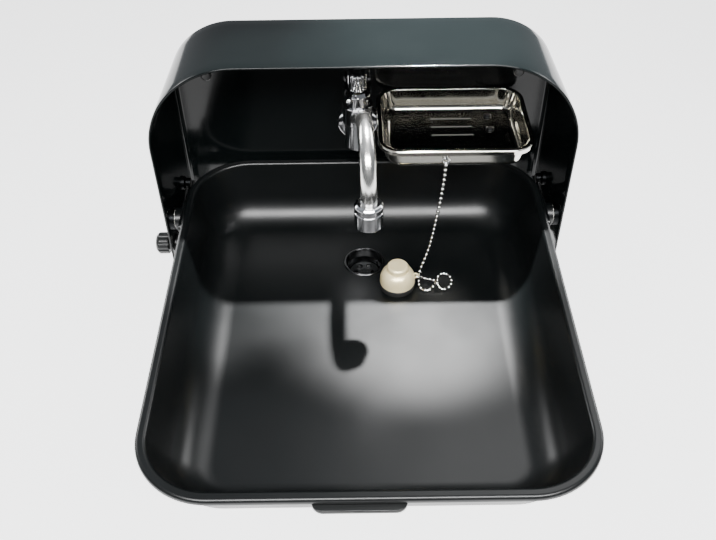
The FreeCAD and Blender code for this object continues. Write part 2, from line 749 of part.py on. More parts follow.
def pivots(form, inside):
    """Pivot plates screwed to lugs on the tub's sides, their bushes, the housing's studs and stops.

    The studs' and stops' feet are cut to the slope of the housing's sides."""
    y, z = -dims.pivot_forward, -dims.pivot_drop
    plate_out = dims.plate_inner + dims.plate_thick
    bush_r = dims.pin_radius + dims.bush_wall
    fixings = ((-90, -22), (-90, -48), (-36, -27))
    studs, bushes, stops, lugs, screws = [], [], [], [], []
    for side, word in ((-1, "left"), (1, "right")):
        inward = "x" if side < 0 else "-x"
        plate = new_body(f"plate_{word}")
        outline = new_sketch(plate, f"plate_outline_{word}", "YZ_Plane")
        polygon(outline, [(-98, -13), (-60, -13), (-46, -19.3), (-14, -19.3), (-14, -33),
                          (-42, -66), (-98, -66)])
        blank = pad(plate, outline, dims.plate_thick)
        round_edges(plate, blank, lambda box: box.XLength > 3.9, 5)
        holes = new_sketch(plate, f"plate_holes_{word}", "YZ_Plane")
        for spot in fixings:
            circle(holes, *spot, 2.1)
        pocket(plate, holes, dims.plate_thick, reverse=True)
        put(plate, plate_out * -1 if side < 0 else dims.plate_inner, 0, 0)
        boss_end = size(187)
        boss = cylinder(f"boss_{word}", 11, boss_end - 140, boss_end * side, y, z, inward)
        bore = cylinder(f"bracket_bore_{word}", bush_r + 0.03, 22, (boss_end + 1) * side, y, z, inward)
        trimmed = cut(f"bracket_trim_{word}", fuse(f"bracket_solid_{word}", [plate, boss]), form)
        finish(cut(f"pivot_bracket_{word}", trimmed, bore), f"pivot_bracket_{word}")

        for i, (lug_y, lug_z) in enumerate(fixings):
            lug = cylinder(f"lug_{word}_{i}", 7, 40, dims.plate_inner * side, lug_y, lug_z, inward)
            tap_hole = cylinder(f"lug_hole_{word}_{i}", 2.02, 8, dims.plate_inner * side, lug_y, lug_z,
                                inward)
            lugs.append(cut(f"lug_trim_{word}_{i}", lug, fuse(f"lug_tool_{word}_{i}", [form, tap_hole])))
            screws.append(turned(f"bracket_screw_{word}_{i}",
                                 [(0, 0), (2.6, 0), (3.8, 1), (3.8, 2.4), (2, 2.4), (2, 13.6), (0, 13.6)],
                                 (plate_out + 2.4) * side, lug_y, lug_z, inward))

        bushes.append(turned(f"bush_{word}",
                             [(dims.pin_radius + dims.running_gap, 0), (10, 0), (10, 0.5),
                              (bush_r, 0.5), (bush_r, 20), (dims.pin_radius + dims.running_gap, 20)],
                             (boss_end + 0.5) * side, y, z, inward))
        stud = turned(f"stud_{word}", [(0, 0), (11, 0), (11, 8.2), (dims.pin_radius, 8.2),
                                       (dims.pin_radius, 26.2), (dims.pin_radius - 1, 27.2), (0, 27.2)],
                      (boss_end + 9) * side, y, z, inward)
        studs.append(common(f"stud_trim_{word}", stud, inside))
        stop = turned(f"stop_{word}", [(0, 0), (7, 0), (7, 7), (5, 8.6), (5, 12.9), (4, 13.4), (0, 13.4)],
                      (boss_end + 3) * side, -28, -14, inward)
        stops.append(common(f"stop_trim_{word}", stop, inside))
    finish(group("pivot_bushes", bushes), "pivot_bushes")
    finish(group("pivot_studs", studs), "pivot_studs")
    finish(group("basin_stops", stops), "basin_stops")
    finish(group("side_lugs", lugs), "side_lugs")
    finish(group("bracket_screws", screws), "bracket_screws")


def side_lock(inside):
    """Clamping knob on the housing's left side; its nylon tip presses on the bracket's plate."""
    y, z = -dims.pivot_forward, -dims.lock_drop
    outer = -dims.housing_width / 2
    collar = cylinder("lock_collar", 9, 7.3, outer, y, z, "x")
    barrel = cylinder("lock_barrel", 6.5, 7.5, outer - 0.2, y, z, "x")
    bore = cylinder("lock_bore", 4.06, 12, outer - 2, y, z, "x")
    blank = fuse("lock_bush_blank", [common("lock_collar_trim", collar, inside), barrel])
    finish(cut("lock_bush", blank, bore), "lock_bush")
    screw = turned("lock_screw", [(0, -13), (4, -13), (4, 11), (3, 12.4), (0, 12.4)], outer, y, z, "x")
    finish(screw, "lock_screw")
    tip = turned("lock_pad", [(0, 12.4), (3.2, 12.4), (4.6, 13.2), (4.6, 15), (0, 15)], outer, y, z, "x")
    finish(tip, "lock_pad")

    body = new_body("lock_knob")
    profile = new_sketch(body, "knob_profile", "XZ_Plane")
    polygon(profile, [(4.02, -0.6), (7, -0.6), (7, -3.2), (10.2, -3.2), (11, -4), (11, -13.5),
                      (8, -16.4), (0, -16.4), (0, -13.2), (4.02, -13.2)])
    turn = body.newObject("PartDesign::Revolution", "knob_turn")
    turn.Profile = profile
    turn.ReferenceAxis = (profile, ["V_Axis"])
    turn.Angle = 360
    flute = new_sketch(body, "knob_flute", "XY_Plane", -3)
    circle(flute, 12.6, 0, 2.5)
    groove = pocket(body, flute, 14)
    doc.recompute()
    around = body.newObject("PartDesign::PolarPattern", "knob_flutes")
    around.Originals = [groove]
    around.Axis = (flute, ["N_Axis"])
    around.Angle = 360
    around.Occurrences = 10
    body.Tip = around
    put(body, outer, y, z, "x")
    finish(body, "lock_knob")


# ---------------------------------------------------------------- pull under the front rim
def pull_handle(form):
    """Moulded pull: a lip under the front rim for the fingers, and a leaf screwed to the tub's wall."""
    body = new_body("pull_blank")
    wall = -dims.tub_back_gap - dims.tub_length + dims.rim_flat - dims.tub_skin
    slope = DRIVING["tub_front_draft"] / DRIVING["tub_depth"]
    tip = -dims.tub_back_gap - dims.tub_length - dims.pull_reach
    high = -dims.rim_drop - 0.4
    low = high - dims.pull_thick
    foot = -34
    profile = new_sketch(body, "pull_profile", "YZ_Plane", -dims.pull_middle)
    polygon(profile, [(tip, low), (wall - 4.3 - low * slope, low), (wall - 4.3 - foot * slope, foot),
                      (wall + 20, foot), (wall + 20, high), (tip, high)])
    block = pad(body, profile, dims.pull_width, both=True)
    lip_front, lip_low, leaf_low = tip.value, low.value, float(foot)
    rounded = round_edges(body, block,
                          lambda box: near(box.YMax, lip_front) and box.XLength < 1, 8.5)
    rounded = round_edges(body, rounded,
                          lambda box: near(box.ZMax, leaf_low) and near(box.ZMin, leaf_low)
                          and box.XLength < 1, 3)
    rounded = round_edges(body, rounded,
                          lambda box: near(box.ZMin, lip_low) and near(box.ZMax, lip_low)
                          and box.YMin < lip_front + 9, 0.8)
    round_edges(body, rounded,
                lambda box: near(box.ZMin, high.value) and box.YMin < lip_front + 9
                and box.XLength > 8, 1)
    seat = wall + 4.3
    screws, drillings = [], []
    for i, side in enumerate((-1, 1)):
        x = dims.pull_width * (side / 3.6) - dims.pull_middle
        drillings.append(cylinder(f"pull_drilling_{i}", 1.42, 12, x, seat - 1, -22, "y"))
        drillings.append(cylinder(f"pull_seat_{i}", 3.4, 12, x, seat - 12, -22, "y"))
        screws.append(turned(f"pull_screw_{i}", [(0, -1.6), (2, -1.6), (2.8, -0.8), (2.8, 0), (1.4, 0),
                                                 (1.4, 4.4), (0, 4.4)], x, seat, -22, "y"))
    tool = fuse("pull_tool", [form] + drillings)
    finish(cut("pull_handle", body, tool), "pull_handle")
    finish(group("handle_screws", screws), "handle_screws")


# ---------------------------------------------------------------- waste
def waste():
    """Drain flange with a cross strainer, gasket and ring nut under the floor, and a hose tail."""
    y = -dims.drain_forward
    floor = -dims.tub_depth
    bore = dims.drain_radius
    finish(turned("drain_flange",
                  [(bore, 0.9), (bore + 0.5, 1.2), (bore + 2, 1.1), (bore + 2.8, 0), (bore + 0.6, 0),
                   (bore + 0.6, -14), (14.6, -19), (14.6, -36), (12, -36), (12, -20), (bore - 3, -16),
                   (bore, -9)], 0, y, floor), "drain_flange")
    strainer = new_body("drain_strainer")
    disc = new_sketch(strainer, "strainer_disc", "XY_Plane", floor - 15.2)
    circle(disc, 0, 0, bore - 3.2)
    pad(strainer, disc, 1.6)
    holes = new_sketch(strainer, "strainer_holes", "XY_Plane", floor - 10)
    for k in range(6):
        angle = math.pi * k / 3
        circle(holes, 9.2 * math.cos(angle), 9.2 * math.sin(angle), 3.4)
    pocket(strainer, holes, 8)
    hub = new_sketch(strainer, "strainer_hub", "XY_Plane", floor - 13.6)
    circle(hub, 0, 0, 3.2)
    pad(strainer, hub, 1.8)
    put(strainer, 0, y, 0)
    finish(strainer, "drain_strainer")
    finish(turned("drain_gasket", [(bore + 0.9, -2.4), (bore + 8, -2.4), (bore + 8, -4.6),
                                   (bore + 0.9, -4.6)], 0, y, floor), "drain_gasket")
    nut = new_body("waste_nut")
    face = new_sketch(nut, "waste_nut_face", "XY_Plane", floor - 11.6)
    flats = 28 / math.cos(math.pi / 8)
    polygon(face, [(flats * math.cos(math.pi * (k + 0.5) / 4), flats * math.sin(math.pi * (k + 0.5) / 4))
                   for k in range(8)])
    circle(face, 0, 0, bore + 0.7)
    pad(nut, face, 7)
    put(nut, 0, y, 0)
    finish(nut, "waste_nut")
    tail = dims.tail_radius
    finish(turned("waste_tail", [(tail - 3, -36.1), (17, -36.1), (17, -39), (tail, -41),
                                 (tail, -61.5), (tail - 0.8, -63), (tail - 3, -63)], 0, y, floor),
           "waste_tail")
    finish(turned("tail_nut", [(14.7, -24), (19.5, -24), (20.5, -26), (20.5, -40.5), (17.2, -40.5),
                               (17.2, -36), (14.7, -36)], 0, y, floor), "tail_nut")


# ---------------------------------------------------------------- plug and chain
def plug():
    """Rubber plug with a domed metal top, a button, a side eye and the ring that takes the chain."""
    x, y, floor = dims.plug_x, -dims.plug_forward, -dims.tub_depth
    finish(turned("plug_body", [(2.6, 2), (2.6, 7), (16.6, 7), (17.5, 6), (16.4, 0), (0, 0), (0, 2)],
                  x, y, floor), "plug_body")
    ball = doc.addObject("Part::Sphere", "dome_ball")
    bind(ball, "Radius", dims.dome_radius)
    put(ball, x, y, floor + 7)
    below = cylinder("dome_cut", 30, 30, x, y, floor - 23)
    half = cut("dome_half", ball, below)
    stem = cylinder("dome_stem", 2.5, 6, x, y, floor + 2.4)
    eye = torus("dome_eye", 2.6, 0.8, x + 17.4, y, floor + 13.7, "y")
    finish(fuse("plug_dome", [half, stem, eye]), "plug_dome")

    cap = turned("button_blank", [(0, 15), (10.4, 15), (10.4, 26.4), (9, 28), (0, 28)], x, y, floor)
    seat = doc.addObject("Part::Sphere", "button_seat")
    bind(seat, "Radius", dims.dome_radius + 0.02)
    put(seat, x, y, floor + 7)
    finish(cut("plug_button", cap, seat), "plug_button")

    yaw, tilt = Rotation(Vector(0, 0, 1), 40), Rotation(Vector(0, 1, 0), 37)
    lean = yaw.multVec(Vector(3.2, 0, -2.4))
    ring = torus("ring_blank", 4, 0.6, x + 17.4 + lean.x, y + lean.y, floor + 13.7 + lean.z)
    ring.Placement = Placement(ring.Placement.Base, yaw * tilt)
    finish(ring, "chain_ring")


def rounded_path(points, name):
    """Straight runs joined by tangent arcs of 0.45 of the shorter run over tan(half turn)."""
    edges, radii, here = [], [], points[0]
    for before, corner, after in zip(points, points[1:], points[2:]):
        way_in = (corner - before).normalize()
        way_out = (after - corner).normalize()
        half = way_in.getAngle(way_out) / 2
        trim = 0.45 * min((corner - before).Length, (after - corner).Length)
        radius = trim / math.tan(half)
        enter = corner - way_in * trim
        leave = corner + way_out * trim
        inward = (way_out - way_in).normalize()
        middle = corner + inward * (radius / math.cos(half) - radius)
        edges.append(Part.LineSegment(here, enter).toShape())
        edges.append(Part.Arc(enter, middle, leave).toShape())
        radii.append(radius)
        here = leave
    edges.append(Part.LineSegment(here, points[-1]).toShape())
    path = Part.Wire(edges)
    print(f"{name}: length {path.Length:.1f}, radii", " ".join(f"{r:.1f}" for r in radii))
    return path


def cord_tube(name, points):
    """A plain round tube along a route, with its volume set against section times length."""
    path = rounded_path(points, name)
    radius = DRIVING["chain_diameter"] / 2
    section = Part.Wire([Part.makeCircle(radius, points[0], points[1] - points[0])])
    obj = doc.addObject("Part::Feature", name)
    obj.Shape = path.makePipeShell([section], True, False)
    share = obj.Shape.Volume / (math.pi * radius ** 2 * path.Length)
    print(f"{name}: volume over section times length {share:.4f}")
    finish(obj, name)
    return path


def least_gap(path, name):
    """Prints the least gap between stretches of one tube that lie over 12 mm apart along it."""
    step = 0.8
    count = int(path.Length / step)
    spots = path.discretize(Number=count)
    far = int(12 / step)
    least = min(spots[i].distanceToPoint(spots[j])
                for i in range(count) for j in range(i + far, count))
    print(f"{name}: least gap to itself {least - DRIVING['chain_diameter']:.2f}")


def chain():
    """Ball chain: it hangs from the dish's eye, then lies on the floor in a figure of eight."""
    lying = -DRIVING["tub_depth"] + DRIVING["chain_diameter"] / 2 + 0.3
    over = lying + 4.3
    hanging = [Vector(73.2, -107.7, 65.4), Vector(72.5, -109.2, 47.0), Vector(70.2, -110.6, 24.0),
               Vector(67.2, -112.0, 0.0), Vector(64.0, -113.2, -22.0), Vector(61.0, -114.2, -36.0),
               Vector(57.9, -115.4, -46.0), Vector(55.9, -116.6, -52.2)]
    parting = hanging[-1]
    onward = parting + (parting - hanging[-2]).normalize() * 5.2
    loops = [parting, onward, Vector(53.2, -121.9, lying),
             Vector(52.5, -128.6, lying), Vector(53.0, -135.0, lying), Vector(56.6, -140.0, lying),
             Vector(62.0, -140.0, lying), Vector(66.0, -135.6, lying), Vector(70.8, -128.6, lying),
             Vector(71.6, -121.9, lying), Vector(75.0, -116.8, lying), Vector(80.6, -116.6, lying),
             Vector(84.6, -121.6, lying), Vector(85.2, -128.6, lying), Vector(82.8, -135.2, lying),
             Vector(77.8, -139.4, lying), Vector(72.6, -138.2, lying + 1.0),
             Vector(70.2, -134.4, over), Vector(66.8, -129.4, over),
             Vector(63.4, -126.2, lying + 1.6), Vector(60.0, -124.9, lying + 1.1),
             Vector(56.4, -125.5, lying + 3.3), Vector(54.2, -126.8, lying + 6.4)]
    cord_tube("chain_hanging", hanging)
    least_gap(cord_tube("chain_loops", loops), "chain_loops")


# ---------------------------------------------------------------- build, check and write
housing_space = housing_shell()
tub_form = basin_tub()
soap_dish()
dish_support()
tap()
tap_handle()
spout()
pivots(tub_form, housing_space)
side_lock(housing_space)
pull_handle(tub_form)
waste()
plug()
chain()
doc.recompute()

failed = [obj.Name for obj in doc.Objects if "Invalid" in obj.State or "Error" in obj.State]
if failed:
    raise RuntimeError("failed features: " + ", ".join(failed))
for node in NODES:
    shape = node.Shape
    if shape.isNull() or not shape.isValid() or not shape.Solids:
        raise RuntimeError("no valid solid in " + node.Label)
for node in NODES:
    node.Shape.exportStep(f"parts/{node.Label}.step")
print(len(NODES), "nodes written")
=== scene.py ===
"""Looks of the wall-hung fold-up wash basin: black enamelled housing and tub, chrome tap and soap dish,
plug on a ball chain.

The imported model's own frame: the wall is y = 0, the front faces -Y, z = 0 is the top of the tub's rim.
The studio's lengths are metres. Lengths of the pieces are millimetres, and each mesh is made in metres.
"""
import json
import math

import bmesh
import bpy
import numpy as np
from mathutils import Matrix, Vector
from mathutils.geometry import tessellate_polygon


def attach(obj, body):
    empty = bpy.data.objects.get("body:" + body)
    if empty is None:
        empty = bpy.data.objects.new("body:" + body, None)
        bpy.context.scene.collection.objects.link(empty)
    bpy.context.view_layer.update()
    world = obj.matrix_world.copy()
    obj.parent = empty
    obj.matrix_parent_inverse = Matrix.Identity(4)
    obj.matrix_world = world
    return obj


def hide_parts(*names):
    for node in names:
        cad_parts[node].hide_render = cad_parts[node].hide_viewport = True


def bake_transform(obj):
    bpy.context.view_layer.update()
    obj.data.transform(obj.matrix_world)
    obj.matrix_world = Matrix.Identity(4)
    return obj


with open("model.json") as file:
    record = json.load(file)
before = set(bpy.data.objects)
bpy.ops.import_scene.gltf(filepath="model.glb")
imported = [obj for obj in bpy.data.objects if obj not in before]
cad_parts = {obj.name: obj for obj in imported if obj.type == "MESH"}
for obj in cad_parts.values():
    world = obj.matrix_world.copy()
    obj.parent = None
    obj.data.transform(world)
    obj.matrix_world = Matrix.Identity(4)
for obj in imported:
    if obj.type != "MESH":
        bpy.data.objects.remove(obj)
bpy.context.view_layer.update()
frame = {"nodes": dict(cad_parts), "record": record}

# ================================================================ the view
# The camera stands in front of the basin and looks down on it, level but for a small roll.
PICTURE_WIDTH = 716
FOCAL_PIXELS = 843
SENSOR_WIDTH = 36.0
CAMERA_PLACE = (-0.0066, -0.716, 0.519)
LOOK_DOWN = 43.84
ROLL = -0.76

camera_data = bpy.data.cameras.new("photo_camera")
camera_data.sensor_width = SENSOR_WIDTH
camera_data.lens = SENSOR_WIDTH * FOCAL_PIXELS / PICTURE_WIDTH
camera_data.clip_start = 0.02
camera = bpy.data.objects.new("photo_camera", camera_data)
bpy.context.scene.collection.objects.link(camera)
camera.matrix_world = (Matrix.Translation(CAMERA_PLACE)
                       @ Matrix.Rotation(math.radians(90 - LOOK_DOWN), 4, "X")
                       @ Matrix.Rotation(math.radians(ROLL), 4, "Z"))
bpy.context.scene.camera = camera


# ================================================================ the studio
# A pale floor, an even pale sky that darkens in front below eye height, a wide soft box in front
# above, one behind at the right and two small ones at the sides, and two narrow lamps behind that
# light the tub's floor past the housing's top.
def finish_material(name, low, high, rough, metal=0.0, spots=60.0, bump=0.0, grain=900.0,
                    smudges=0.0, glow=0.0, shine=0.5):
    """A worked finish: the colour wanders between low and high with a cloud of that many spots a metre,
    roughness between rough's two values, bump is the height in metres of a fine grain, and smudges
    is how much a second, larger cloud dulls the gloss. shine is the surface's mirror strength."""
    material = bpy.data.materials.new(name)
    material.use_nodes = True
    nodes, links = material.node_tree.nodes, material.node_tree.links
    shader = nodes["Principled BSDF"]
    shader.inputs["Metallic"].default_value = metal
    shader.inputs["Specular IOR Level"].default_value = shine
    place = nodes.new("ShaderNodeTexCoord").outputs["Object"]

    def cloud(scale, detail, distortion=0.0):
        noise = nodes.new("ShaderNodeTexNoise")
        noise.inputs["Scale"].default_value = scale
        noise.inputs["Detail"].default_value = detail
        noise.inputs["Distortion"].default_value = distortion
        links.new(place, noise.inputs["Vector"])
        return noise.outputs["Fac"]

    def stretched(value, start, end, least, most):
        ramp = nodes.new("ShaderNodeMapRange")
        ramp.inputs["From Min"].default_value, ramp.inputs["From Max"].default_value = start, end
        ramp.inputs["To Min"].default_value, ramp.inputs["To Max"].default_value = least, most
        links.new(value, ramp.inputs["Value"])
        return ramp.outputs["Result"]

    wander = cloud(spots, 5)
    colour = nodes.new("ShaderNodeMix")
    colour.data_type = "RGBA"
    colour.inputs["A"].default_value = (*low, 1)
    colour.inputs["B"].default_value = (*high, 1)
    links.new(wander, colour.inputs["Factor"])
    links.new(colour.outputs["Result"], shader.inputs["Base Color"])
    if glow:
        links.new(colour.outputs["Result"], shader.inputs["Emission Color"])
        shader.inputs["Emission Strength"].default_value = glow
    roughness = stretched(wander, 0.3, 0.7, *rough)
    if smudges:
        total = nodes.new("ShaderNodeMath")
        links.new(roughness, total.inputs[0])
        links.new(stretched(cloud(14, 6, 1.2), 0.5, 0.8, 0, smudges), total.inputs[1])
        roughness = total.outputs[0]
    links.new(roughness, shader.inputs["Roughness"])
    if bump:
        relief = nodes.new("ShaderNodeBump")
        relief.inputs["Distance"].default_value = bump
        links.new(cloud(grain, 3), relief.inputs["Height"])
        links.new(relief.outputs["Normal"], shader.inputs["Normal"])
    return material


FLOOR_SIZE = 14
FLOOR_LEVEL = -0.9
bpy.ops.mesh.primitive_plane_add(size=FLOOR_SIZE, location=(0, 0, FLOOR_LEVEL))
floor = bpy.context.object
floor.name = "studio_floor"
floor.data.materials.append(finish_material("floor_paper", (0.9, 0.9, 0.9), (0.94, 0.94, 0.94),
                                            (0.8, 0.9), spots=2.0, glow=2.6))

SKY_COLOUR = (0.9, 0.95, 1.0, 1)
SKY_BRIGHT = 0.5
SKY_DIM = 0.16
SKY_CLIMB = (0.0, 0.66, 0.75)
SKY_DIM_BELOW, SKY_BRIGHT_ABOVE = -0.1, 0.75
world = bpy.context.scene.world or bpy.data.worlds.new("studio")
bpy.context.scene.world = world
world.use_nodes = True
sky_nodes, sky_links = world.node_tree.nodes, world.node_tree.links
background = sky_nodes["Background"]
background.inputs["Color"].default_value = SKY_COLOUR
# the sky's strength rises with the direction's height plus its reach to the back
heading = sky_nodes.new("ShaderNodeTexCoord")
toward = sky_nodes.new("ShaderNodeVectorMath")
toward.operation = "DOT_PRODUCT"
toward.inputs[1].default_value = SKY_CLIMB
sky_links.new(heading.outputs["Generated"], toward.inputs[0])
sky_ramp = sky_nodes.new("ShaderNodeMapRange")
sky_ramp.interpolation_type = "SMOOTHSTEP"
sky_ramp.inputs["From Min"].default_value = SKY_DIM_BELOW
sky_ramp.inputs["From Max"].default_value = SKY_BRIGHT_ABOVE
sky_ramp.inputs["To Min"].default_value = SKY_DIM
sky_ramp.inputs["To Max"].default_value = SKY_BRIGHT
sky_links.new(toward.outputs["Value"], sky_ramp.inputs["Value"])
sky_links.new(sky_ramp.outputs["Result"], background.inputs["Strength"])


def hung_lamp(name, kind, place, target, power):
    """A lamp of a kind, hung at a place and aimed at a target; returns its settings."""
    light = bpy.data.lights.new(name, kind)
    light.energy = power
    lamp = bpy.data.objects.new(name, light)
    bpy.context.scene.collection.objects.link(lamp)
    lamp.location = place
    lamp.rotation_euler = (Vector(target) - Vector(place)).to_track_quat("-Z", "Y").to_euler()
    return light


def soft_box(name, place, target, width, height, radiance):
    """A flat lamp of a given brightness: its power is radiance times pi times its area."""
    light = hung_lamp(name, "AREA", place, target, radiance * math.pi * width * height)
    light.shape = "RECTANGLE"
    light.size, light.size_y = width, height


soft_box("soft_box_front", (0.06, -1.1, 1.2), (0.03, -0.1, -0.05), 1.7, 0.42, 34)
soft_box("soft_box_rear", (0.45, 0.6, 1.4), (0.1, -0.35, -0.065), 0.9, 0.62, 3.4)
soft_box("soft_box_left", (-1.5, 0.85, 0.71), (-0.17, -0.3, 0), 0.8, 0.6, 13)
soft_box("soft_box_right", (1.5, 0.85, 0.71), (0.17, -0.3, 0), 0.8, 0.6, 13)

SPOT_PLACE = (0.119, 0.158, 0.93)
SPOT_RADIUS = 0.02


def spot_lamp(name, target, power, cone):
    """A narrow lamp behind the basin, aimed at a target, fading to its cone's edge."""
    light = hung_lamp(name, "SPOT", SPOT_PLACE, target, power)
    light.spot_size = math.radians(cone)
    light.spot_blend = 1.0
    light.shadow_soft_size = SPOT_RADIUS


spot_lamp("key_lamp", (0.05, -0.085, -0.065), 800, 21)
spot_lamp("edge_lamp", (-0.148, -0.14, -0.045), 280, 11)

# ================================================================ housing
# An arched box of 2.4 mm sheet steel, welded and enamelled black. Its wall wraps from foot to foot,
# spreads forward, and its front edge is rolled to a full round; it hangs from four screws.
MILLIMETRE = 0.001
MEETING = 2e-6                       # points closer than this, in metres, are one
CREASE = 38                          # edges sharper than this, in degrees, stay crisp
HOUSING_BACK_HALF = 184.0
HOUSING_DEPTH = 86.0
HOUSING_SPREAD = 11.5 / HOUSING_DEPTH
HOUSING_TOP = 151.0
HOUSING_FOOT = -115.0
HOUSING_SHEET = 2.4
HOUSING_CORNER = 66.0                # the arch's corners at the wall
HOUSING_CORNER_GAIN = 20.0           # and what they gain by the front edge
FOOT_CORNER = 40.0                   # the round that cuts a foot's front corner
FOOT_STARTS = 7.0                    # the distance from the wall where that round begins to tell
REAR_ROUND = 1.5
BACK_FILLET = 4.0
WALL_SCREWS = [(x, z) for x in (-150, 150) for z in (-95, 95)]
WALL_SCREW_HOLE = 2.75
INLET_X, INLET_LEVEL = -5.0, 42.0
INLET_HOLE = 10.98


def grid_patch(points, close_rows=False, close_columns=False):
    """(points, faces) of a grid [row, column, xyz]: a face joins each point to the next row and column."""
    points = np.asarray(points, float)
    rows, columns = points.shape[:2]
    index = np.arange(rows * columns).reshape(rows, columns)
    if close_rows:
        index = np.vstack([index, index[:1]])
    if close_columns:
        index = np.hstack([index, index[:, :1]])
    faces = np.stack([index[:-1, :-1], index[:-1, 1:], index[1:, 1:], index[1:, :-1]], -1)
    return points.reshape(-1, 3), faces.reshape(-1, 4).tolist()


def flat_patch(outlines, spots):
    """(points, faces) of a flat plate: outlines are flat rings, the first the edge and the rest holes,
    and spots turns their flat coordinates into points."""
    flat = np.vstack(outlines)
    rings = [[Vector((x, y, 0)) for x, y in ring] for ring in outlines]
    return spots(flat), [list(corner) for corner in tessellate_polygon(rings)]


def made_piece(name, patches, finish, body, replaced=()):
    """One closed mesh from patches in millimetres: points that meet are merged and faces turned outwards.
    It rides on body, if one is named, and stands for the replaced nodes."""
    points, faces, count = [], [], 0
    for spots, corners in patches:
        faces += [[count + corner for corner in face] for face in corners]
        points.append(spots)
        count += len(spots)
    mesh = bpy.data.meshes.new(name)
    mesh.from_pydata((np.vstack(points) * MILLIMETRE).tolist(), [], faces)
    work = bmesh.new()
    work.from_mesh(mesh)
    bmesh.ops.remove_doubles(work, verts=work.verts, dist=MEETING)
    bmesh.ops.recalc_face_normals(work, faces=work.faces)
    work.to_mesh(mesh)
    work.free()
    mesh.polygons.foreach_set("use_smooth", np.ones(len(mesh.polygons), bool))
    mesh.set_sharp_from_angle(angle=math.radians(CREASE))
    mesh.materials.append(finish)
    mesh.update()
    piece = bpy.data.objects.new(name, mesh)
    bpy.context.scene.collection.objects.link(piece)
    if body:
        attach(piece, body)
    if replaced:
        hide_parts(*replaced)
    return piece


def arc_points(x, y, radius, start, end, steps):
    """Points of an arc: centre plus the radius times (cos, sin) of angles from start to end in degrees."""
    angle = np.radians(np.linspace(start, end, steps + 1))
    return np.stack([x + radius * np.cos(angle), y + radius * np.sin(angle)], -1)


def housing_section():
    """The sheet's loop as (distance from the wall, inset from the outer face), and how far each point
    follows the front edge: round the rear edge, along the outside, round the rolled lip, back along
    the inside, round the fillet and on to the back panel."""
    half_sheet = HOUSING_SHEET / 2
    reach = HOUSING_DEPTH - half_sheet
    hollow = HOUSING_SHEET + BACK_FILLET
    lip = arc_points(reach, half_sheet, half_sheet, -90, 90, 8)
    rear = arc_points(REAR_ROUND, REAR_ROUND, REAR_ROUND, 180, 270, 4)
    fillet = arc_points(hollow, hollow, BACK_FILLET, 270, 180, 6)
    lengthwise = np.linspace(0, 1, 9)[1:-1]
    outside = np.stack([REAR_ROUND + lengthwise * (reach - REAR_ROUND), 0 * lengthwise], -1)
    inside = np.stack([reach + lengthwise * (hollow - reach), 0 * lengthwise + HOUSING_SHEET], -1)
    loop = np.vstack([[(0, 2 * REAR_ROUND), (0, REAR_ROUND + 0.2)], rear, outside, lip, inside, fillet,
                      [(HOUSING_SHEET, hollow + 1), (HOUSING_SHEET, hollow + 2.6)]])
    follows = np.clip((loop[:, 0] - FOOT_STARTS) / (reach - FOOT_STARTS), 0, None)
    return loop, follows


def housing_outline(distance, inset, foot_turn):
    """The arch's outline at a distance from the wall, less an inset: up the left side, a quarter round,
    across the top, a quarter round and down the right side. Straight sides carry the foot's rows."""
    half = HOUSING_BACK_HALF + HOUSING_SPREAD * distance - inset
    corner = HOUSING_CORNER + HOUSING_CORNER_GAIN * distance / HOUSING_DEPTH - inset
    top = HOUSING_TOP - inset
    knee = HOUSING_FOOT + FOOT_CORNER
    foot = knee - FOOT_CORNER * np.sin(np.radians(foot_turn))
    rise = np.linspace(0, 1, 8)[1:]
    turn = np.radians(np.linspace(0, 90, 25))[1:]
    left_x = np.concatenate([np.repeat(-half, len(foot) + len(rise)), -half + corner * (1 - np.cos(turn))])
    left_z = np.concatenate([foot, knee + rise * (top - corner - knee),
                             top - corner + corner * np.sin(turn)])
    across = np.linspace(0, 1, 14)[1:-1] * 2 - 1
    flat_x = across * (half - corner)
    x = np.concatenate([left_x, flat_x, -left_x[::-1]])
    z = np.concatenate([left_z, 0 * flat_x + top, left_z[::-1]])
    return x, z


def housing_shell():
    """The sheet's loop carried along the arch, the back panel's two faces with their holes, and the
    feet's ends. Towards a foot the front edge falls back along a quarter round, and the side, which
    spreads forward, narrows with it."""
    loop, follows = housing_section()
    foot_turn = np.linspace(90, 0, 15)
    shorter = FOOT_CORNER * (1 - np.cos(np.radians(foot_turn)))
    columns = []
    for (distance, inset), share in zip(loop, follows):
        x, z = housing_outline(distance, inset, foot_turn)
        back_off = np.zeros(len(x))
        back_off[:len(shorter)] = shorter
        back_off[-len(shorter):] = shorter[::-1]
        forward = distance - back_off * share
        narrower = HOUSING_SPREAD * (distance - forward)
        x = x - np.sign(x) * np.where(back_off > 0, narrower, 0)
        columns.append(np.stack([x, -forward, z], -1))
    skin = np.stack(columns)
    rear, front = skin[0], skin[-1]
    holes = [arc_points(x, z, WALL_SCREW_HOLE, 0, 345, 23) for x, z in WALL_SCREWS]
    holes.append(arc_points(INLET_X, INLET_LEVEL, INLET_HOLE, 0, 350, 35))

    def wall_at(depth):
        return lambda flat: np.stack([flat[:, 0], np.full(len(flat), -depth), flat[:, 1]], -1)

    patches = [grid_patch(skin),
               flat_patch([rear[:, [0, 2]]] + holes, wall_at(0)),
               flat_patch([front[:, [0, 2]]] + holes, wall_at(HOUSING_SHEET))]
    patches += [grid_patch(np.stack([wall_at(0)(hole), wall_at(HOUSING_SHEET)(hole)]), close_columns=True)
                for hole in holes]
    foot_loop = np.vstack([skin[:, 0, :2], skin[::-1, -1, :2]])
    patches.append(flat_patch([foot_loop], lambda flat: np.column_stack(
        [flat, np.full(len(flat), HOUSING_FOOT)])))
    return patches


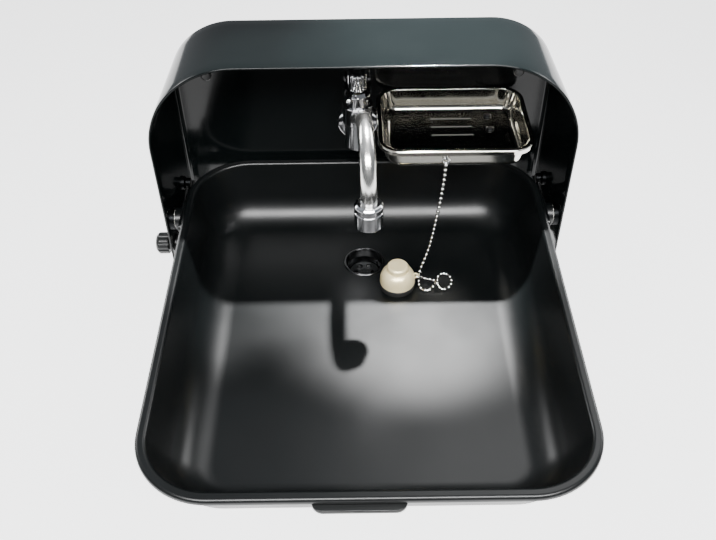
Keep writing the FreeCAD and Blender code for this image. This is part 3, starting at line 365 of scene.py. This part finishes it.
HOUSING_ENAMEL = finish_material("housing_enamel", (0.0014, 0.0021, 0.0022), (0.0022, 0.0031, 0.0032),
                                 (0.11, 0.14), spots=22, bump=0.000004, grain=420, shine=0.24)
made_piece("housing_shell_formed", housing_shell(), HOUSING_ENAMEL, "housing",
           ["housing_shell"])

# ================================================================ screw covers
# Four push-in caps of black plastic over the wall screws, flat buttons with a round edge.
BLACK_PLASTIC = finish_material("black_plastic", (0.004, 0.0045, 0.0045), (0.007, 0.0075, 0.0075),
                                (0.26, 0.36), spots=180, bump=0.00002, grain=1600, shine=0.35)


def softened(corners, radius, closed=True):
    """A profile with round corners: near a corner P between sides that reach A and B it is
    P + (1 - t)^2 (A - P) + t^2 (B - P), and one more point on each side holds the flats flat."""
    corners = np.array(corners, float)
    before, after = np.roll(corners, 1, 0) - corners, np.roll(corners, -1, 0) - corners
    lengths = [np.maximum(np.linalg.norm(side, axis=1), 1e-9) for side in (before, after)]
    reach = np.minimum(np.minimum(radius, 0.36 * lengths[0]), 0.36 * lengths[1])[:, None, None]
    sides = [(side / length[:, None])[:, None] for side, length in zip((before, after), lengths)]
    share = np.array([0, 0, 0.25, 0.5, 0.75, 1, 1])[None, :, None]
    stretch = np.array([1.25, 1, 1, 1, 1, 1, 1.25])[None, :, None]
    curve = corners[:, None] + reach * stretch * ((1 - share) ** 2 * sides[0] + share ** 2 * sides[1])
    if not closed:
        return np.vstack([corners[:1], curve[1:-1].reshape(-1, 2), corners[-1:]])
    return curve.reshape(-1, 2)


# an axis as the directions of (cos a), (sin a) and height
TURNED_ABOUT = {"z": ((1, 0, 0), (0, 1, 0), (0, 0, 1)), "y": ((1, 0, 0), (0, 0, -1), (0, 1, 0)),
                "-y": ((1, 0, 0), (0, 0, 1), (0, -1, 0)), "-x": ((0, 1, 0), (0, 0, -1), (-1, 0, 0))}


def turned(profile, foot, axis="z", around=48, flute=None):
    """A lathe-turned patch: a point (r, h) of the profile becomes foot + r (cos a, sin a) + h along the
    axis. flute gives r as a function of r, h and a where the rim is fluted."""
    profile = np.array(profile, float)
    angle = np.arange(around) * 2 * np.pi / around
    radius, height = profile[:, :1] + 0 * angle, profile[:, 1:] + 0 * angle
    if flute:
        radius = flute(radius, height, angle)
    across, over, along = (np.array(way, float) for way in TURNED_ABOUT[axis])
    points = (np.array(foot, float) + (radius * np.cos(angle))[..., None] * across
              + (radius * np.sin(angle))[..., None] * over + height[..., None] * along)
    return grid_patch(points, close_rows=profile[0, 0] > 0, close_columns=True)


cover = softened([(0, -2), (2.7, -2), (2.7, 0.02), (5.2, 0.02), (5.2, 0.9), (4.2, 1.6), (0, 1.8)], 0.4,
                 closed=False)
made_piece("wall_screw_covers", [turned(cover, (x, -HOUSING_SHEET, z), "-y", 32) for x, z in WALL_SCREWS],
           BLACK_PLASTIC, "housing")

# ================================================================ tub
# One pressing with a flat rolled rim that turns down all round, leaning walls and a wide round
# between walls and floor. Satin black enamel, a hole in the floor for the waste.
TUB_HALF = 166.0
TUB_FRONT = -397.5
TUB_BACK = -16.0
TUB_DEPTH = 65.0
DRAIN_PLACE = (0.0, -96.0)
DRAIN_HOLE = 19.0


def box_rings(left, right, front, back, corner, level, arc=20, side=12):
    """Rings round a box with round corners, one for each value of the arrays: each corner is its centre
    plus the corner's radius times (cos t, sin t), and straight sides lie between."""
    left, right, front, back, corner, level = np.broadcast_arrays(left, right, front, back, corner, level)
    turn = np.radians(np.linspace(0, 90, arc + 1))
    share = np.linspace(0, 1, side + 1)[1:-1]
    starts = [(right, back, -1, -1, 0), (left, back, 1, -1, 90), (left, front, 1, 1, 180),
              (right, front, -1, 1, 270)]
    arcs = []
    for x, y, in_x, in_y, start in starts:
        centre = np.stack([x + in_x * corner, y + in_y * corner], -1)[:, None]
        angle = turn + math.radians(start)
        arcs.append(centre + corner[:, None, None] * np.stack([np.cos(angle), np.sin(angle)], -1))
    parts = []
    for here, onward in zip(arcs, arcs[1:] + arcs[:1]):
        parts += [here, here[:, -1:] + share[:, None] * (onward[:, :1] - here[:, -1:])]
    flat = np.concatenate(parts, 1)
    height = np.broadcast_to(level[:, None, None], flat.shape[:2] + (1,))
    return np.concatenate([flat, height], -1)


def tray_rings(mouth, corner, depth, lean, corner_loss, fillet, skin, rim, drop, edge, hollow):
    """Rings of a pressed tray, from the edge of its flat floor up the inside, over the rim and back below.

    Below the rim a wall's inset is lean times height over depth. Near the floor it is the fillet
    circle's: its centre stands a fillet above the floor, the wall one fillet from it. The rim's inner
    and outer edges are quarter rounds. The underside is the same form a skin's thickness outside, and
    a hollow rim is open below."""
    left, right, front, back = mouth
    lean = np.array(lean, float)                     # at the sides, the front and the back
    angle = np.arctan(lean / depth)
    upright = np.degrees(angle.min())
    hem = 0.5                                        # the round under the rim's turned-down edge

    def wall_part(z, top, low, offset, radius, top_corner):
        """Insets of the three kinds of wall and the corner radius at heights z."""
        height = (top - z[:, None]) / (top - low)
        straight = offset + lean * height
        centre = low + radius
        middle = offset + lean * (top - centre) / (top - low) + radius / np.cos(angle)
        below = np.minimum(z[:, None] - centre, 0)
        round_inset = middle - np.sqrt(np.clip(radius ** 2 - below ** 2, 0, None))
        inset = np.where(z[:, None] < centre - radius * np.sin(angle), round_inset, straight)
        return inset, top_corner - corner_loss * height[:, 0] - (inset - straight).mean(1)

    sweep = np.radians(np.concatenate([[90, 88, 84], np.linspace(78, upright, 14)]))
    low_z = -depth + fillet - fillet * np.sin(sweep)
    inner_z = np.concatenate([low_z, np.linspace(low_z[-1], -edge * 1.6, 8)[1:]])
    inner, inner_corner = wall_part(inner_z, 0.0, -depth, 0.0, fillet, corner)

    bend = np.radians(np.linspace(upright, 90, 8))
    lip_z = -edge + edge * np.sin(bend)
    back_off = edge / np.tan((np.pi / 2 + angle) / 2)
    lip = np.where(lip_z[:, None] > -edge + edge * np.sin(angle),
                   -back_off + np.sqrt(np.clip(edge ** 2 - (lip_z[:, None] + edge) ** 2, 0, None)),
                   lean * -lip_z[:, None] / depth)

    rim_line = [[(-back_off.min() - 0.3, 0), (-rim + edge + 0.3, 0)],
                arc_points(-rim + edge, -edge, edge, 90, 180, 7),
                [(-rim, -edge - 0.2), (-rim, -drop + hem + 0.2)],
                arc_points(-rim + hem, -drop + hem, hem, 180, 270, 3)]
    joint_z = -drop
    if hollow:
        rim_line += [arc_points(-rim + skin - hem, -drop + hem, hem, 270, 360, 3),
                     [(-rim + skin, -drop + hem + 0.3), (-rim + skin, -skin - 0.4),
                      (-rim + skin + 0.4, -skin)]]
        joint_z = -skin
    rim_line = np.vstack(rim_line)
    rim_part = np.repeat(rim_line[:, :1], 3, 1)

    out_sweep = np.radians(np.concatenate([np.linspace(upright, 78, 12), [84, 88, 90]]))
    out_fillet = fillet + skin
    out_low = -depth - skin + out_fillet - out_fillet * np.sin(out_sweep)
    out_z = np.concatenate([[joint_z, joint_z - 0.6], np.linspace(joint_z - 2, out_low[0], 7)[:-1], out_low])
    outer, outer_corner = wall_part(out_z, -skin * 0.6, -depth - skin, -skin, out_fillet, corner + skin)

    inset = np.vstack([inner, lip, rim_part, outer])
    radius = np.concatenate([inner_corner, corner - lip.mean(1), corner - rim_line[:, 0], outer_corner])
    level = np.concatenate([inner_z, lip_z, rim_line[:, 1], out_z])
    return box_rings(left + inset[:, 0], right - inset[:, 0], front + inset[:, 1], back - inset[:, 2],
                     radius, level)


def tub_rings():
    """The tub's rings closed through the waste hole: floor rings go from the hole's circle outwards."""
    wall = tray_rings((-TUB_HALF, TUB_HALF, TUB_FRONT, TUB_BACK), corner=52.0, depth=TUB_DEPTH,
                      lean=(14.0, 24.0, 8.0), corner_loss=8.0, fillet=34.0, skin=2.4, rim=8.0, drop=5.0,
                      edge=3.0, hollow=True)

    def floor_rings(edge, shares):
        spoke = edge[:, :2] - DRAIN_PLACE
        circle = DRAIN_PLACE + DRAIN_HOLE * spoke / np.linalg.norm(spoke, axis=1)[:, None]
        flat = circle + np.array(shares)[:, None, None] * (edge[:, :2] - circle)
        return np.concatenate([flat, np.broadcast_to(edge[0, 2], flat.shape[:2] + (1,))], -1)

    inside = floor_rings(wall[0], [0, 0.02, 0.2, 0.45, 0.7, 0.9, 0.98])
    below = floor_rings(wall[-1], [0.98, 0.9, 0.6, 0.3, 0.02, 0])
    return np.concatenate([inside, wall, below])


TUB_ENAMEL = finish_material("tub_enamel", (0.0012, 0.0017, 0.0018), (0.002, 0.0026, 0.0028),
                             (0.3, 0.34), spots=22, bump=0.000006, grain=420, shine=0.42)
made_piece("basin_tub_pressed", [grid_patch(tub_rings(), close_rows=True, close_columns=True)],
           TUB_ENAMEL, "basin", ["basin_tub"])

# ================================================================ tap
# A brass wall tap, turned and chromed: shank through the wall with a rosette, upright body with a
# bonnet, a fluted cap on top that turns a quarter with a thin lever.
TAP_X, TAP_Y = INLET_X, -26.0
CHROME = finish_material("bright_chrome", (0.8, 0.8, 0.82), (0.88, 0.88, 0.9), (0.04, 0.07), metal=1.0,
                         spots=140, bump=0.000004, grain=260, smudges=0.05)


def thread_ridges(radius, start, end, pitch, depth):
    """A threaded stretch of a profile: its radius drops by depth at every half pitch."""
    height = np.arange(start, end, pitch / 2)
    groove = np.where(np.arange(len(height)) % 2, depth, 0)
    return np.stack([radius - groove, height], -1)


post = softened([(0, 28), (10, 28), (12.5, 30.5), (12.5, 57), (10.45, 57), (10.45, 92), (0, 92)], 0.8,
                closed=False)
shank_front = softened([(0, 0), (11, 0), (11, 17), (10.3, 17)], 0.4, closed=False)
shank = np.vstack([shank_front, thread_ridges(10.46, 18, 58, pitch=1.8, depth=0.7),
                   [(9.6, 59), (9.4, 60), (6.2, 60), (6.0, 59.6), (6.0, 40), (0, 40)]])
made_piece("tap_body_turned", [turned(post, (TAP_X, TAP_Y, 0)),
                               turned(shank, (TAP_X, TAP_Y, INLET_LEVEL), "y")],
           CHROME, "housing", ["tap_body"])
bonnet = softened([(10.47, 78.2), (12.5, 78.2), (12.5, 89), (10.5, 92.6), (10.47, 92.6)], 0.7)
made_piece("tap_bonnet_turned", [turned(bonnet, (TAP_X, TAP_Y, 0))], CHROME, "housing",
           ["tap_bonnet"])
rosette = softened([(10.6, 0), (15, 0), (19, 1.8), (21, 4.2), (21, 5.1), (10.6, 5.1)], 0.8)
made_piece("tap_rosette_turned", [turned(rosette, (TAP_X, -9, INLET_LEVEL), "y", 64)], CHROME, "housing",
           ["tap_flange"])


def flutes(count, middle, hollow, low, high, core):
    """So many flutes round a rim: between the heights low and high, and outside the core, its radius
    gives way where a circle of radius hollow about a point middle from the axis cuts into it."""
    half = np.pi / count

    def rim(radius, height, angle):
        off = (angle + half) % (2 * half) - half
        aside = middle * np.sin(off)
        bottom = middle * np.cos(off) - np.sqrt(np.clip(hollow ** 2 - aside ** 2, 0, None))
        reached = (np.abs(aside) < hollow) & (height > low) & (height < high) & (radius > core)
        return np.where(reached, np.minimum(radius, bottom), radius)

    return rim


cap = softened([(0, 93.2), (9.3, 93.2), (9.3, 95.5), (9.3, 109.6), (7.6, 111.8), (3.6, 111.8),
                (3.6, 110), (0, 110)], 0.9, closed=False)
cap_flutes = flutes(12, middle=10.9, hollow=2.2, low=95.5, high=110.6, core=6)
made_piece("tap_cap_fluted", [turned(cap, (TAP_X, TAP_Y, 0), around=192, flute=cap_flutes)], CHROME,
           "tap_handle", ["tap_cap"])


def swept_patch(centres, radii, across):
    """A round bar carried along a path in a plane: centre + r (cos a across + sin a normal), where
    the normal stands square to the path and to across."""
    centres, across = np.array(centres, float), np.array(across, float)
    way = np.gradient(centres, axis=0)
    way /= np.linalg.norm(way, axis=1)[:, None]
    normal = np.cross(way, across)
    angle = np.arange(32) * 2 * np.pi / 32
    ring = (np.cos(angle)[None, :, None] * across + np.sin(angle)[None, :, None] * normal[:, None])
    return grid_patch(centres[:, None] + np.array(radii, float)[:, None, None] * ring, close_columns=True)


LEVER_LEAN = math.radians(14)
LEVER_LEVEL = 99.7
LEVER_REACH = 32.5                   # from the tap's axis to the middle of the lever's ball
LEVER_BALL = 3.2
lever_way = np.array([-math.sin(LEVER_LEAN), -math.cos(LEVER_LEAN), 0])
ball_turn = np.radians(np.linspace(20, 180, 14))
lever_out = np.concatenate([[9.2, 9.21], np.linspace(10, 29.2, 8),
                            LEVER_REACH - LEVER_BALL * np.cos(ball_turn)])
lever_radius = np.concatenate([[0, 1.75, 1.6], np.linspace(1.55, 1.1, 7), LEVER_BALL * np.sin(ball_turn)])
lever_line = np.array([TAP_X, TAP_Y, LEVER_LEVEL]) + lever_out[:, None] * lever_way
made_piece("tap_lever_turned", [swept_patch(lever_line, lever_radius, (0, 0, 1))], CHROME, "tap_handle",
           ["tap_lever"])

# ================================================================ spout
# A swan neck of bent 14 mm tube soldered into a collar that swivels on the tap's spigot. The same
# chromed brass, the tube a little duller; the aerator is screwed on its mouth, with a plastic insert.
SPOUT_TURN = math.radians(3.2)
SPOUT_ACROSS = np.array([math.cos(SPOUT_TURN), math.sin(SPOUT_TURN), 0])
SPOUT_FORWARD = np.array([math.sin(SPOUT_TURN), -math.cos(SPOUT_TURN), 0])
SPOUT_REACH = 145.0
SPOUT_RADIUS_OF_BEND = 40.0
SPOUT_CLIMB = 33                     # degrees above level, up to the bend
TUBE_RADIUS = 7.0


def spout_points(reach_height):
    """Points in the spout's upright plane: the tap's axis + reach forward + height up."""
    reach_height = np.array(reach_height, float)
    return (np.array([TAP_X, TAP_Y, 0]) + reach_height[:, :1] * SPOUT_FORWARD
            + reach_height[:, 1:] * np.array([0, 0, 1.0]))


climb_reach = np.linspace(12.5, 82.5, 15)
climb = np.stack([climb_reach, 67.5 + (climb_reach - 12) * math.tan(math.radians(SPOUT_CLIMB))], -1)
neck = arc_points(SPOUT_REACH - SPOUT_RADIUS_OF_BEND, 80.2, SPOUT_RADIUS_OF_BEND, 90 + SPOUT_CLIMB, 0, 30)
mouth = np.stack([np.full(4, SPOUT_REACH), np.linspace(78.0, 63.0, 4)], -1)
spout_line = np.vstack([climb[:1], climb, neck, mouth, mouth[-1:]])
# the tube swells into the collar, and its two ends are closed
swell = 1.7 * np.exp(-((climb_reach - 14.5) / 2.6) ** 2)
spout_radii = np.concatenate([[0], TUBE_RADIUS + swell, np.full(len(neck) + len(mouth), TUBE_RADIUS), [0]])
spout_line[0] += (-0.01, -0.006)
spout_line[-1] += (0, -0.01)
SATIN_CHROME = finish_material("satin_chrome", (0.86, 0.85, 0.82), (0.93, 0.92, 0.89), (0.17, 0.24),
                               metal=1.0, spots=140, bump=0.000004, grain=260)
made_piece("spout_tube_bent", [swept_patch(spout_points(spout_line), spout_radii, SPOUT_ACROSS)],
           SATIN_CHROME, "spout", ["spout_tube"])
collar = softened([(10.5, 57.2), (14.5, 57.2), (14.5, 78), (10.5, 78)], 1.3)
made_piece("spout_collar_turned", [turned(collar, (TAP_X, TAP_Y, 0), around=64)], CHROME, "spout",
           ["spout_collar"])
aerator_foot = tuple(spout_points([(SPOUT_REACH, 0.0)])[0])
shell = softened([(10.8, 50), (12.4, 50), (12.4, 64.6), (11.9, 65), (11.9, 65.8), (12.4, 66.2),
                  (12.4, 71.2), (10.6, 73), (7.03, 73), (7.03, 65), (10.8, 65)], 0.6)
made_piece("aerator_shell_turned", [turned(shell, aerator_foot, around=64)], CHROME, "spout",
           ["aerator_shell"])

# ================================================================ soap dish
# A deep-drawn stainless tray with a flat rim, polished: three slots drain its floor, two screws
# hold it to a bracket on the housing's back wall.
DISH_LEFT, DISH_RIGHT, DISH_FRONT, DISH_BACK = 17.3, 148.9, -105.5, -6.9
DISH_RIM = 79.6
DISH_DEPTH = 22.0
SLOT_HALF_WIDTH = 1.6
DISH_SCREW_HOLE = 2.2
POLISHED_STEEL = finish_material("polished_steel", (0.76, 0.73, 0.66), (0.86, 0.83, 0.76), (0.05, 0.09),
                                 metal=1.0, spots=90, smudges=0.04)


def slot_ring(left, right, middle, half):
    """A slot's outline: a half circle at each end."""
    return np.vstack([arc_points(right - half, middle, half, -90, 90, 8),
                      arc_points(left + half, middle, half, 90, 270, 8)])


def dish_patches():
    """The dish's rings, its floor's two faces with their slots and screw holes, and the holes' walls."""
    rings = tray_rings((DISH_LEFT, DISH_RIGHT, DISH_FRONT, DISH_BACK), corner=17.5, depth=DISH_DEPTH,
                       lean=(5.0, 5.0, 5.0), corner_loss=3.5, fillet=8.0, skin=1.5, rim=4.5, drop=5.0,
                       edge=1.2, hollow=False)
    rings[..., 2] += DISH_RIM
    holes = [slot_ring(64, 105, y, SLOT_HALF_WIDTH) for y in (-53.0, -39.5, -26.0)]
    holes += [arc_points(121, y, DISH_SCREW_HOLE, 0, 340, 17) for y in (-22, -44)]
    top, low = rings[0, 0, 2], rings[-1, 0, 2]

    def level_at(height):
        return lambda flat: np.column_stack([flat, np.full(len(flat), height)])

    patches = [grid_patch(rings, close_columns=True), flat_patch([rings[0, :, :2]] + holes, level_at(top)),
               flat_patch([rings[-1, :, :2]] + holes, level_at(low))]
    return patches + [grid_patch(np.stack([level_at(top)(hole), level_at(low)(hole)]), close_columns=True)
                      for hole in holes]


made_piece("soap_dish_drawn", dish_patches(), POLISHED_STEEL, "housing", ["soap_dish"])

# ================================================================ waste
# A chromed flange seated in the tub's floor with a strainer, clamped by a ring nut below; a
# plastic tail takes the hose. The flange's chrome is darkened as painted shade.
flange = softened([(18.2, -64.1), (18.7, -63.8), (20.2, -63.9), (21, -65), (18.9, -65.05), (18.8, -79),
                   (14.6, -84), (14.6, -101), (12, -101), (12, -85), (15.2, -81), (18.2, -74)], 0.5)
# painted shade: the flange's base colour is dark, standing for the dark hood and tub its chrome would mirror
SHADE_PAINTED_CHROME = finish_material("chrome_painted_shade", (0.1, 0.102, 0.105), (0.14, 0.143, 0.146), (0.14, 0.2),
                              metal=1.0, spots=120, smudges=0.08)
made_piece("drain_flange_turned", [turned(flange, (*DRAIN_PLACE, 0), around=72)], SHADE_PAINTED_CHROME, "basin",
           ["drain_flange"])

# ================================================================ plug
# A rubber stopper under a spun metal dome with a flat button on top; a small eye at its side takes
# the ring of the chain. Chromed metal whose cream colour is a painted reflection of a warm light.
PLUG_X, PLUG_Y = 31.6, -131.0
DOME_RADIUS = 17.0
DOME_FOOT = -58.0
DOME_FULLNESS = 0.72                 # the power that makes it fuller than a ball, which has 1
EYE_PLACE = (PLUG_X + 17.4, PLUG_Y, -51.3)
# painted reflection: the cream base colour stands for a warm light mirrored in the chromed dome and button
WARM_REFLECTION_PAINTED_CHROME = finish_material("chrome_painted_warm_reflection", (0.97, 0.8, 0.42), (1.0, 0.89, 0.58), (0.28, 0.36),
                              metal=0.45, spots=110, bump=0.00001, grain=500, smudges=0.1)
BLACK_RUBBER = finish_material("black_rubber", (0.008, 0.008, 0.008), (0.018, 0.018, 0.017), (0.5, 0.66),
                               spots=300, bump=0.00003)
stopper = softened([(0, -65), (16.4, -65), (17.5, -59), (16.9, -58), (0, -58)], 0.7, closed=False)
made_piece("plug_body_moulded", [turned(stopper, (PLUG_X, PLUG_Y, 0), around=64)], BLACK_RUBBER, "basin",
           ["plug_body"])
# r = radius cos^p t and height = radius sin^p t, where p is the fullness
dome_turn = np.radians(np.linspace(2, 90, 24))
dome_curve = np.stack([DOME_RADIUS * np.clip(np.cos(dome_turn), 0, 1) ** DOME_FULLNESS,
                       DOME_FOOT + DOME_RADIUS * np.sin(dome_turn) ** DOME_FULLNESS], -1)
dome = np.vstack([[(0, DOME_FOOT), (DOME_RADIUS - 0.4, DOME_FOOT), (DOME_RADIUS, DOME_FOOT + 0.2)],
                  dome_curve])
dome[-1, 0] = 0


def ring_patch(middle, across, over, radius, thick, around=32, section=10):
    """A ring of round wire: middle + (R + r cos b) (cos a across + sin a over) + r sin b along its axis."""
    across, over = np.array(across, float), np.array(over, float)
    turn = np.arange(around) * 2 * np.pi / around
    wire = np.arange(section) * 2 * np.pi / section
    out = np.cos(turn)[:, None] * across + np.sin(turn)[:, None] * over
    points = (np.array(middle, float) + (radius + thick * np.cos(wire))[None, :, None] * out[:, None]
              + (thick * np.sin(wire))[None, :, None] * np.cross(across, over))
    return grid_patch(points, close_rows=True, close_columns=True)


made_piece("plug_dome_spun", [turned(dome, (PLUG_X, PLUG_Y, 0), around=64),
                              ring_patch(EYE_PLACE, (1, 0, 0), (0, 0, 1), radius=2.6, thick=0.8)],
           WARM_REFLECTION_PAINTED_CHROME, "basin", ["plug_dome"])
button = softened([(0, -44.5), (10.4, -44.5), (10.4, -38.6), (9.0, -37), (0, -37)], 0.8, closed=False)
made_piece("plug_button_turned", [turned(button, (PLUG_X, PLUG_Y, 0), around=56)], WARM_REFLECTION_PAINTED_CHROME, "basin",
           ["plug_button"])

# ================================================================ chain
# A nickelled ball chain, 3.6 mm balls joined by short wire links. It hangs from an eye under the
# dish, goes on a split ring at the plug, and its spare length lies in two loops on the tub's floor.
LYING = -62.9
OVER = -58.6
CHAIN_ROUTE = [
    (73.2, -107.7, 65.4), (72.5, -109.2, 47.0), (70.2, -110.6, 24.0), (67.2, -112.0, 0.0),
    (64.0, -113.2, -22.0), (61.0, -114.2, -36.0), (57.9, -115.4, -46.0), (55.9, -116.6, -52.2),
    (54.32, -117.55, -57.1), (53.2, -121.9, LYING), (52.5, -128.6, LYING), (53.0, -135.0, LYING),
    (56.6, -140.0, LYING), (62.0, -140.0, LYING), (66.0, -135.6, LYING), (70.8, -128.6, LYING),
    (71.6, -121.9, LYING), (75.0, -116.8, LYING), (80.6, -116.6, LYING), (84.6, -121.6, LYING),
    (85.2, -128.6, LYING), (82.8, -135.2, LYING), (77.8, -139.4, LYING), (72.6, -138.2, LYING + 1.0),
    (70.2, -134.4, OVER), (66.8, -129.4, OVER), (63.4, -126.2, LYING + 1.6),
    (60.0, -124.9, LYING + 1.1), (56.4, -125.5, LYING + 3.3), (54.2, -126.8, LYING + 6.4)]
BALL_RADIUS = 1.8
BALL_PITCH = 5.1
LINK_RADIUS = 0.5
LINK_HALF = 1.3

route_curve = bpy.data.curves.new("chain_route", "CURVE")
route_curve.dimensions = "3D"
route_curve.resolution_u = 24
spline = route_curve.splines.new("NURBS")
spline.points.add(len(CHAIN_ROUTE) - 1)
spline.points.foreach_set("co", np.column_stack([np.array(CHAIN_ROUTE) * MILLIMETRE,
                                                 np.ones(len(CHAIN_ROUTE))]).ravel())
spline.order_u = 3
spline.use_endpoint_u = True
route_object = bpy.data.objects.new("chain_route", route_curve)
route_mesh = bpy.data.meshes.new_from_object(route_object)
route_points = np.empty(len(route_mesh.vertices) * 3)
route_mesh.vertices.foreach_get("co", route_points)
route_points = route_points.reshape(-1, 3) / MILLIMETRE
bpy.data.objects.remove(route_object)
bpy.data.meshes.remove(route_mesh)


def along_route(distances):
    """Points at distances along the route's line, and the way from just before each to just past it."""
    steps = np.linalg.norm(np.diff(route_points, axis=0), axis=1)
    run = np.concatenate([[0], np.cumsum(steps)])

    def spots_at(distance):
        return np.stack([np.interp(distance, run, route_points[:, k]) for k in range(3)], -1)

    way = spots_at(distances + 0.4) - spots_at(distances - 0.4)
    return spots_at(distances), way / np.linalg.norm(way, axis=1)[:, None]


def beads(spots, way, radii, offsets, around):
    """Small turned solids on a line, one for each spot: spot + offset along the way + radius round it."""
    never_along = np.array([0.3, 0.9, 0.31])
    side = np.cross(way, never_along)
    side /= np.linalg.norm(side, axis=1)[:, None]
    other = np.cross(way, side)
    angle = np.arange(around) * 2 * np.pi / around
    ring = (np.cos(angle)[:, None] * side[:, None] + np.sin(angle)[:, None] * other[:, None])
    points = (spots[:, None, None] + np.array(offsets)[None, :, None, None] * way[:, None, None]
              + np.array(radii)[None, :, None, None] * ring[:, None])
    return [grid_patch(solid, close_columns=True) for solid in points]


route_length = float(np.linalg.norm(np.diff(route_points, axis=0), axis=1).sum())
ball_count = int((route_length - BALL_RADIUS * 2) / BALL_PITCH)
ball_places = BALL_RADIUS + np.arange(ball_count + 1) * (route_length - 2 * BALL_RADIUS) / ball_count
belt = np.radians(np.linspace(-90, 90, 9))
ball_spots, ball_ways = along_route(ball_places)
link_spots, link_ways = along_route((ball_places[:-1] + ball_places[1:]) / 2)
chain_patches = (beads(ball_spots, ball_ways, BALL_RADIUS * np.cos(belt), BALL_RADIUS * np.sin(belt), 14)
                 + beads(link_spots, link_ways, [0, LINK_RADIUS, LINK_RADIUS * 0.9, LINK_RADIUS, 0],
                         [-LINK_HALF, -LINK_HALF + 0.05, 0, LINK_HALF - 0.05, LINK_HALF], 8))
NICKEL = finish_material("chain_nickel", (0.7, 0.69, 0.66), (0.84, 0.83, 0.8), (0.1, 0.18), metal=1.0,
                         spots=400, bump=0.000004)
split_ring = ring_patch((51.45, -128.94, -53.7), (0.61, 0.513, -0.602), (-0.643, 0.766, 0),
                        radius=4.0, thick=0.6)
made_piece("chain_ring_split", [split_ring], NICKEL, "basin", ["chain_ring"])
chain = made_piece("plug_chain", chain_patches, NICKEL, None,
                   ["chain_hanging", "chain_loops"])
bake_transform(chain)

# ================================================================ lock knob
# A moulded black grip with ten finger flutes on a steel screw; it clamps the tub from the left side.
KNOB_PLACE = (-195.5, -71, -58)
grip = softened([(4.02, 0.6), (7, 0.6), (7, 3.2), (10.2, 3.2), (11, 4), (11, 13.5), (8, 16.4), (4.4, 16.4)],
                0.9, closed=False)
grip = np.vstack([[(0, 0.6)], grip, [(4.2, 16.35), (0, 16.35)]])
knob_flutes = flutes(10, middle=12.6, hollow=2.5, low=3, high=math.inf, core=0)
made_piece("lock_knob_moulded", [turned(grip, KNOB_PLACE, "-x", around=160, flute=knob_flutes)],
           BLACK_PLASTIC, "lock_knob", ["lock_knob"])

# ================================================================ carried pieces
# Nuts, washers, screws, brackets, studs, the pull and other small pieces keep the source's own
# solids; each takes the finish of its kind. The strainer's black is painted shade, for the shade deep
# in the drain.
ZINC = finish_material("black_zinc", (0.006, 0.0065, 0.007), (0.011, 0.0115, 0.012), (0.3, 0.4), metal=1.0,
                       spots=160, bump=0.000006, smudges=0.1)
BRASS = finish_material("turned_brass", (0.5, 0.36, 0.16), (0.64, 0.48, 0.24), (0.22, 0.34), metal=1.0,
                        spots=200, smudges=0.1)
NYLON = finish_material("white_nylon", (0.62, 0.61, 0.56), (0.72, 0.71, 0.66), (0.35, 0.45), spots=200,
                        bump=0.000008)
FINISH_OF = {"housing_paint": HOUSING_ENAMEL, "tub_paint": TUB_ENAMEL, "bright_chrome": CHROME,
             "chain_steel": NICKEL, "zinc_steel": ZINC, "brass": BRASS, "black_plastic": BLACK_PLASTIC,
             "white_nylon": NYLON, "black_rubber": BLACK_RUBBER}
for subpart in frame["record"]["subparts"]:
    for place in frame["nodes"][subpart["node"]].material_slots:
        place.material = FINISH_OF[subpart["material_slot"]]
# painted shade: the strainer takes the black plastic finish for the shade deep in the drain, not its own
# finish
frame["nodes"]["drain_strainer"].material_slots[0].material = BLACK_PLASTIC
